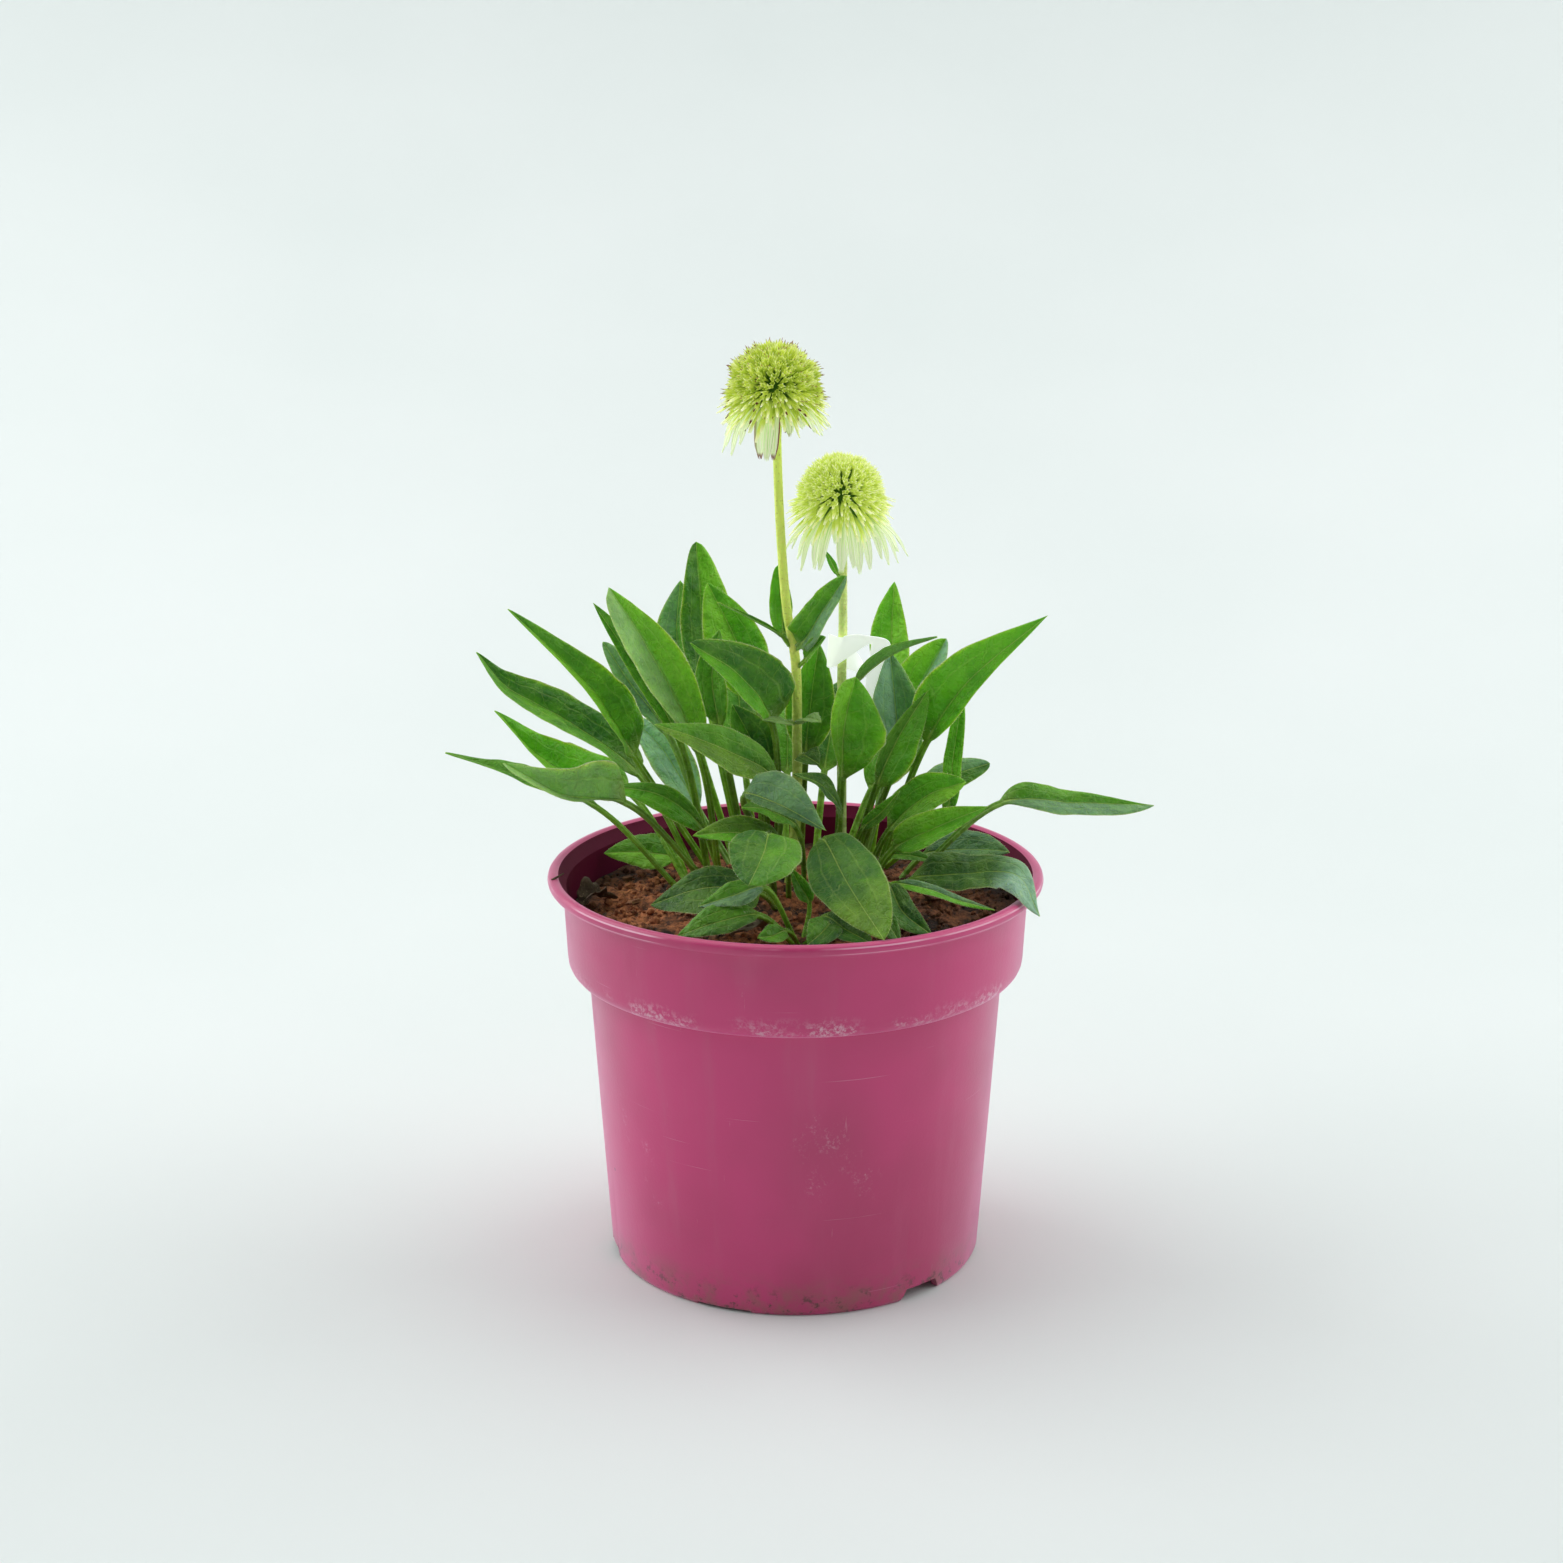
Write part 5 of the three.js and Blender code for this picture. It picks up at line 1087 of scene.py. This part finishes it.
for name, (centre, eye, rays) in BLOOMS.items():
    first = name == "bloom_1"
    luck = random.Random(11 if first else 12)
    cone = spun_at("cone", CONE, centre)
    write(cone.data, "share", "FLOAT", np.zeros(len(cone.data.vertices)))
    write(cone.data, "seed", "FLOAT", np.zeros(len(cone.data.vertices)))
    middle = Vector(centre) + Vector(eye)
    tubes, straps = ([], []), ([], [])
    for k in range(TUBES):
        high = 1 - 1.3 * (k + 0.5) / TUBES
        turn = k * GOLDEN + luck.uniform(-0.07, 0.07)
        level = math.sqrt(1 - high * high)
        out = Vector((level * math.cos(turn), level * math.sin(turn), high))
        drop = max(0, -high) * 0.9
        aslant = (luck.uniform(-0.1, 0.1), luck.uniform(-0.1, 0.1), luck.uniform(-0.08, 0.08) - drop)
        start = 9 + luck.uniform(-0.3, 0.3)
        end = 17.2 - (0.6 if first else 1.6) * max(0, high) - (0 if first else 0.5)
        end *= 1 + 0.06 * luck.uniform(-1, 1)
        if high < 0:
            end += 3 * min(1, -high / 0.25) * luck.uniform(0.5, 1.1)
        wide = luck.uniform(0.85, 1.15)
        browned = first and luck.random() < (0.36 if high > 0.35 or high < 0.0 else 0.16)
        end += 1.1 if browned else 0
        sizes = (wide, wide * 0.85, end - start)
        tubes[0].append(frame_at(middle + out * start, out + Vector(aslant), sizes, luck.uniform(0, 6.3)))
        tubes[1].append(luck.random() * 0.99 + (0 if first else PALE) + (BROWNED if browned else 0))
    for k in range(STRAPS):
        turn = k * GOLDEN
        steep = -0.02 - 0.62 * k / STRAPS + luck.uniform(-0.05, 0.05)
        way = Vector((math.cos(turn) * math.cos(steep), math.sin(turn) * math.cos(steep), math.sin(steep)))
        long = 10 + 5.2 * k / STRAPS + luck.uniform(-1.8, 1.8)
        slant = way + Vector((luck.uniform(-0.12, 0.12), luck.uniform(-0.12, 0.12), 0))
        wide = luck.uniform(1.0, 1.8)
        straps[0].append(frame_at(middle + way * 8.6, slant, (wide, long, long), luck.uniform(-0.25, 0.25)))
        straps[1].append(luck.random() * 0.99 + (BROWNED if first and luck.random() < 0.08 else PALE))
    disc = joined(scatter(f"{name}_florets", floret.data, *tubes),
                  scatter("straps", strap_floret.data, *straps), cone)
    shade(disc, 50)
    keep(disc, lime, "floret", f"{name}_disc")

    straps = []
    for azimuth, reach, drop, width, browned in rays:
        turn = math.radians(azimuth)
        out = np.array((math.sin(turn), -math.cos(turn), 0))
        aside = np.array((math.cos(turn), math.sin(turn), 0))
        line = [out * (6 + (reach - 6) * far) + (0, 0, -8.2 - (drop - 8.2) * low)
                for far, low in ((0, 0), (0.42, 0.1), (0.76, 0.45), (1, 1))]
        bpy.ops.mesh.primitive_grid_add(x_subdivisions=10, y_subdivisions=RAY_ROWS, size=2)
        strap = bpy.context.object
        unit = unit_places(strap)
        row = np.rint((unit[:, 1] + 1) * RAY_ROWS / 2).astype(int)
        centres, along = course(line, np.linspace(0, 1, RAY_ROWS + 1))
        normal = np.cross(aside, along)
        normal /= lengths_of(normal)
        v = row / RAY_ROWS
        profile = 0.5 + 0.5 * np.sin(math.pi * np.clip(v * 1.02, 0, 1)) ** 0.6
        half = width / 2 * (profile * (1 - smooth(v, 0.84, 1.0) * 0.3))
        fold = 0.26 * np.cos(unit[:, 0] * 2.5 * math.pi) * np.sin(math.pi * v) ** 0.5
        curl = -(0.2 + 0.25 * luck.random()) * half * unit[:, 0] ** 2
        sway = luck.uniform(-1.4, 1.4) * v ** 2
        notch = smooth(v, 0.9, 1.0) * 0.8 * np.cos(unit[:, 0] * 3 * math.pi)
        spots = centres[row] + aside * (unit[:, 0] * half + sway)[:, None]
        spots += normal[row] * (fold + curl)[:, None] + along[row] * notch[:, None] + np.array(centre)
        strap.data.vertices.foreach_set("co", np.ravel(spots * MM))
        edged = np.full(len(unit), browned + 0.001)
        write(strap.data, "leaf", "FLOAT_VECTOR", np.stack([v, unit[:, 0], edged], axis=1))
        straps.append(strap)
    skirt = joined(straps[0], *straps[1:])
    thicken(skirt, 0.32)
    cup = spun_at("cup", CUP, centre)
    write(cup.data, "leaf", "FLOAT_VECTOR", np.zeros((len(cup.data.vertices), 3)))
    skirt = joined(skirt, cup)
    skirt.name = f"{name}_skirt"
    shade(skirt, 60)
    keep(skirt, petal, "ray", f"{name}_rays")
bpy.data.objects.remove(floret)
bpy.data.objects.remove(strap_floret)

# Label: a blank strip of thin white plastic, wound once round the lower stem and twisted, so that
# its two ends hang to the right. Middle of the strip and the vector to its upper edge, in mm.
WOUND = [
    ((31, 22, 219), (0, 0.5, -4)), ((24, 21, 229), (0, 1, 3.5)), ((17, 20, 233), (0, 1, 5)),
    ((12.5, 16, 235.5), (0.3, 0, 6.3)), ((15.5, 11.5, 235.5), (1.6, -0.6, 6)),
    ((21, 10.5, 239), (-1.5, -1.5, 3.6)), ((27, 12, 240.5), (-1.5, -2.5, 2.2)),
    ((32, 14, 237), (3.5, -1, 2.5)), ((32, 15, 230), (4.4, -0.5, 0.8)), ((31, 15.5, 222), (4.2, 0, 0.5)),
    ((30.5, 16, 214), (4, 0, 0.4)),
]
bpy.ops.mesh.primitive_grid_add(x_subdivisions=120, y_subdivisions=8, size=2)
strip = bpy.context.object
strip.name = "blank_label"
middles, edges = [[np.array(row[k], float) for row in WOUND] for k in range(2)]
for corner in strip.data.vertices:
    at = (corner.co.x + 1) / 2
    corner.co = Vector(spline(middles, at) + spline(edges, at) * corner.co.y) * MM
thicken(strip, 0.4)
shade(strip, 40)
# The label glows faintly in white: painted light that keeps the strip bright.
white = Finish("white_label_plastic", Roughness=0.35, Subsurface_Weight=0.5, Subsurface_Radius=(1, 1, 1),
               Subsurface_Scale=0.003, Emission_Strength=0.34)
smudge = white.noise(white.place(), 90.0, 4.0)
white.wire("Base Color", white.mix(white.band(smudge, 0.4, 0.7), srgb(250, 253, 252), srgb(234, 242, 238)))
white.wire("Emission Color", white.mix(0.5, srgb(236, 244, 240), srgb(250, 252, 250)))
white.bump(smudge, 0.1, 0.0004)
keep(strip, white, "label", "label")

# Fallen leaves: brown, dry and curled, on the soil; and a bit of dark stalk on the lip.
dry = Finish("dry_leaf", Roughness=0.85)
spot = dry.place()
colour = dry.mix(dry.noise(spot, 300.0, 5.0, 0.7), srgb(40, 30, 24), srgb(116, 96, 74))
bleached = dry.times(dry.band(dry.part(spot, 0), -0.045, -0.035), 0.6)
colour = dry.mix(bleached, colour, srgb(158, 144, 122))
dry.wire("Base Color", dry.mix(dry.patches(0.62, 0.75, spot, 700.0), colour, srgb(170, 150, 118)))
dry.bump(dry.noise(spot, 900.0, 5.0), 0.8, 0.0008)
DRY = {
    "dead_leaf_1": ([(-70, 8, 1), (-74, 4, 4), (-79, 0, 5), (-82, -6, 2)], 13),
    "dead_leaf_2": ([(-24, -44, 1.5), (-20, -43, 2.5), (-14, -41, 2.5), (-7, -39, 1.5)], 9),
}
for name, (points, width) in DRY.items():
    rib = [(x, y, soil_height(x, y) + above) for x, y, above in points]
    shrivelled = blade(f"dry_{name}", rib, width, (0, -0.5, 1), 50, 2, ("dry", "dry"), hairy=False)
    for corner in shrivelled.data.vertices:
        bend = [noise.noise(corner.co * 260 + Vector((shift, 0, 0))) for shift in (0, 19, 47)]
        corner.co += 0.0014 * Vector(bend)
    if name == "dead_leaf_1":
        bpy.ops.mesh.primitive_cone_add(vertices=8, radius1=0.55 * MM, radius2=0.25 * MM, depth=6.5 * MM)
        twig = bpy.context.object
        lie = Vector((3.6, 4.5, 0.9)).to_track_quat("Z", "Y").to_matrix().to_4x4()
        twig.data.transform(Matrix.Translation(Vector((-90.2, -13.3, 154)) * MM) @ lie)
        shrivelled = joined(shrivelled, twig)
    keep(shrivelled, dry, "dry_leaf", name)
bpy.data.objects.remove(leaf_pattern)
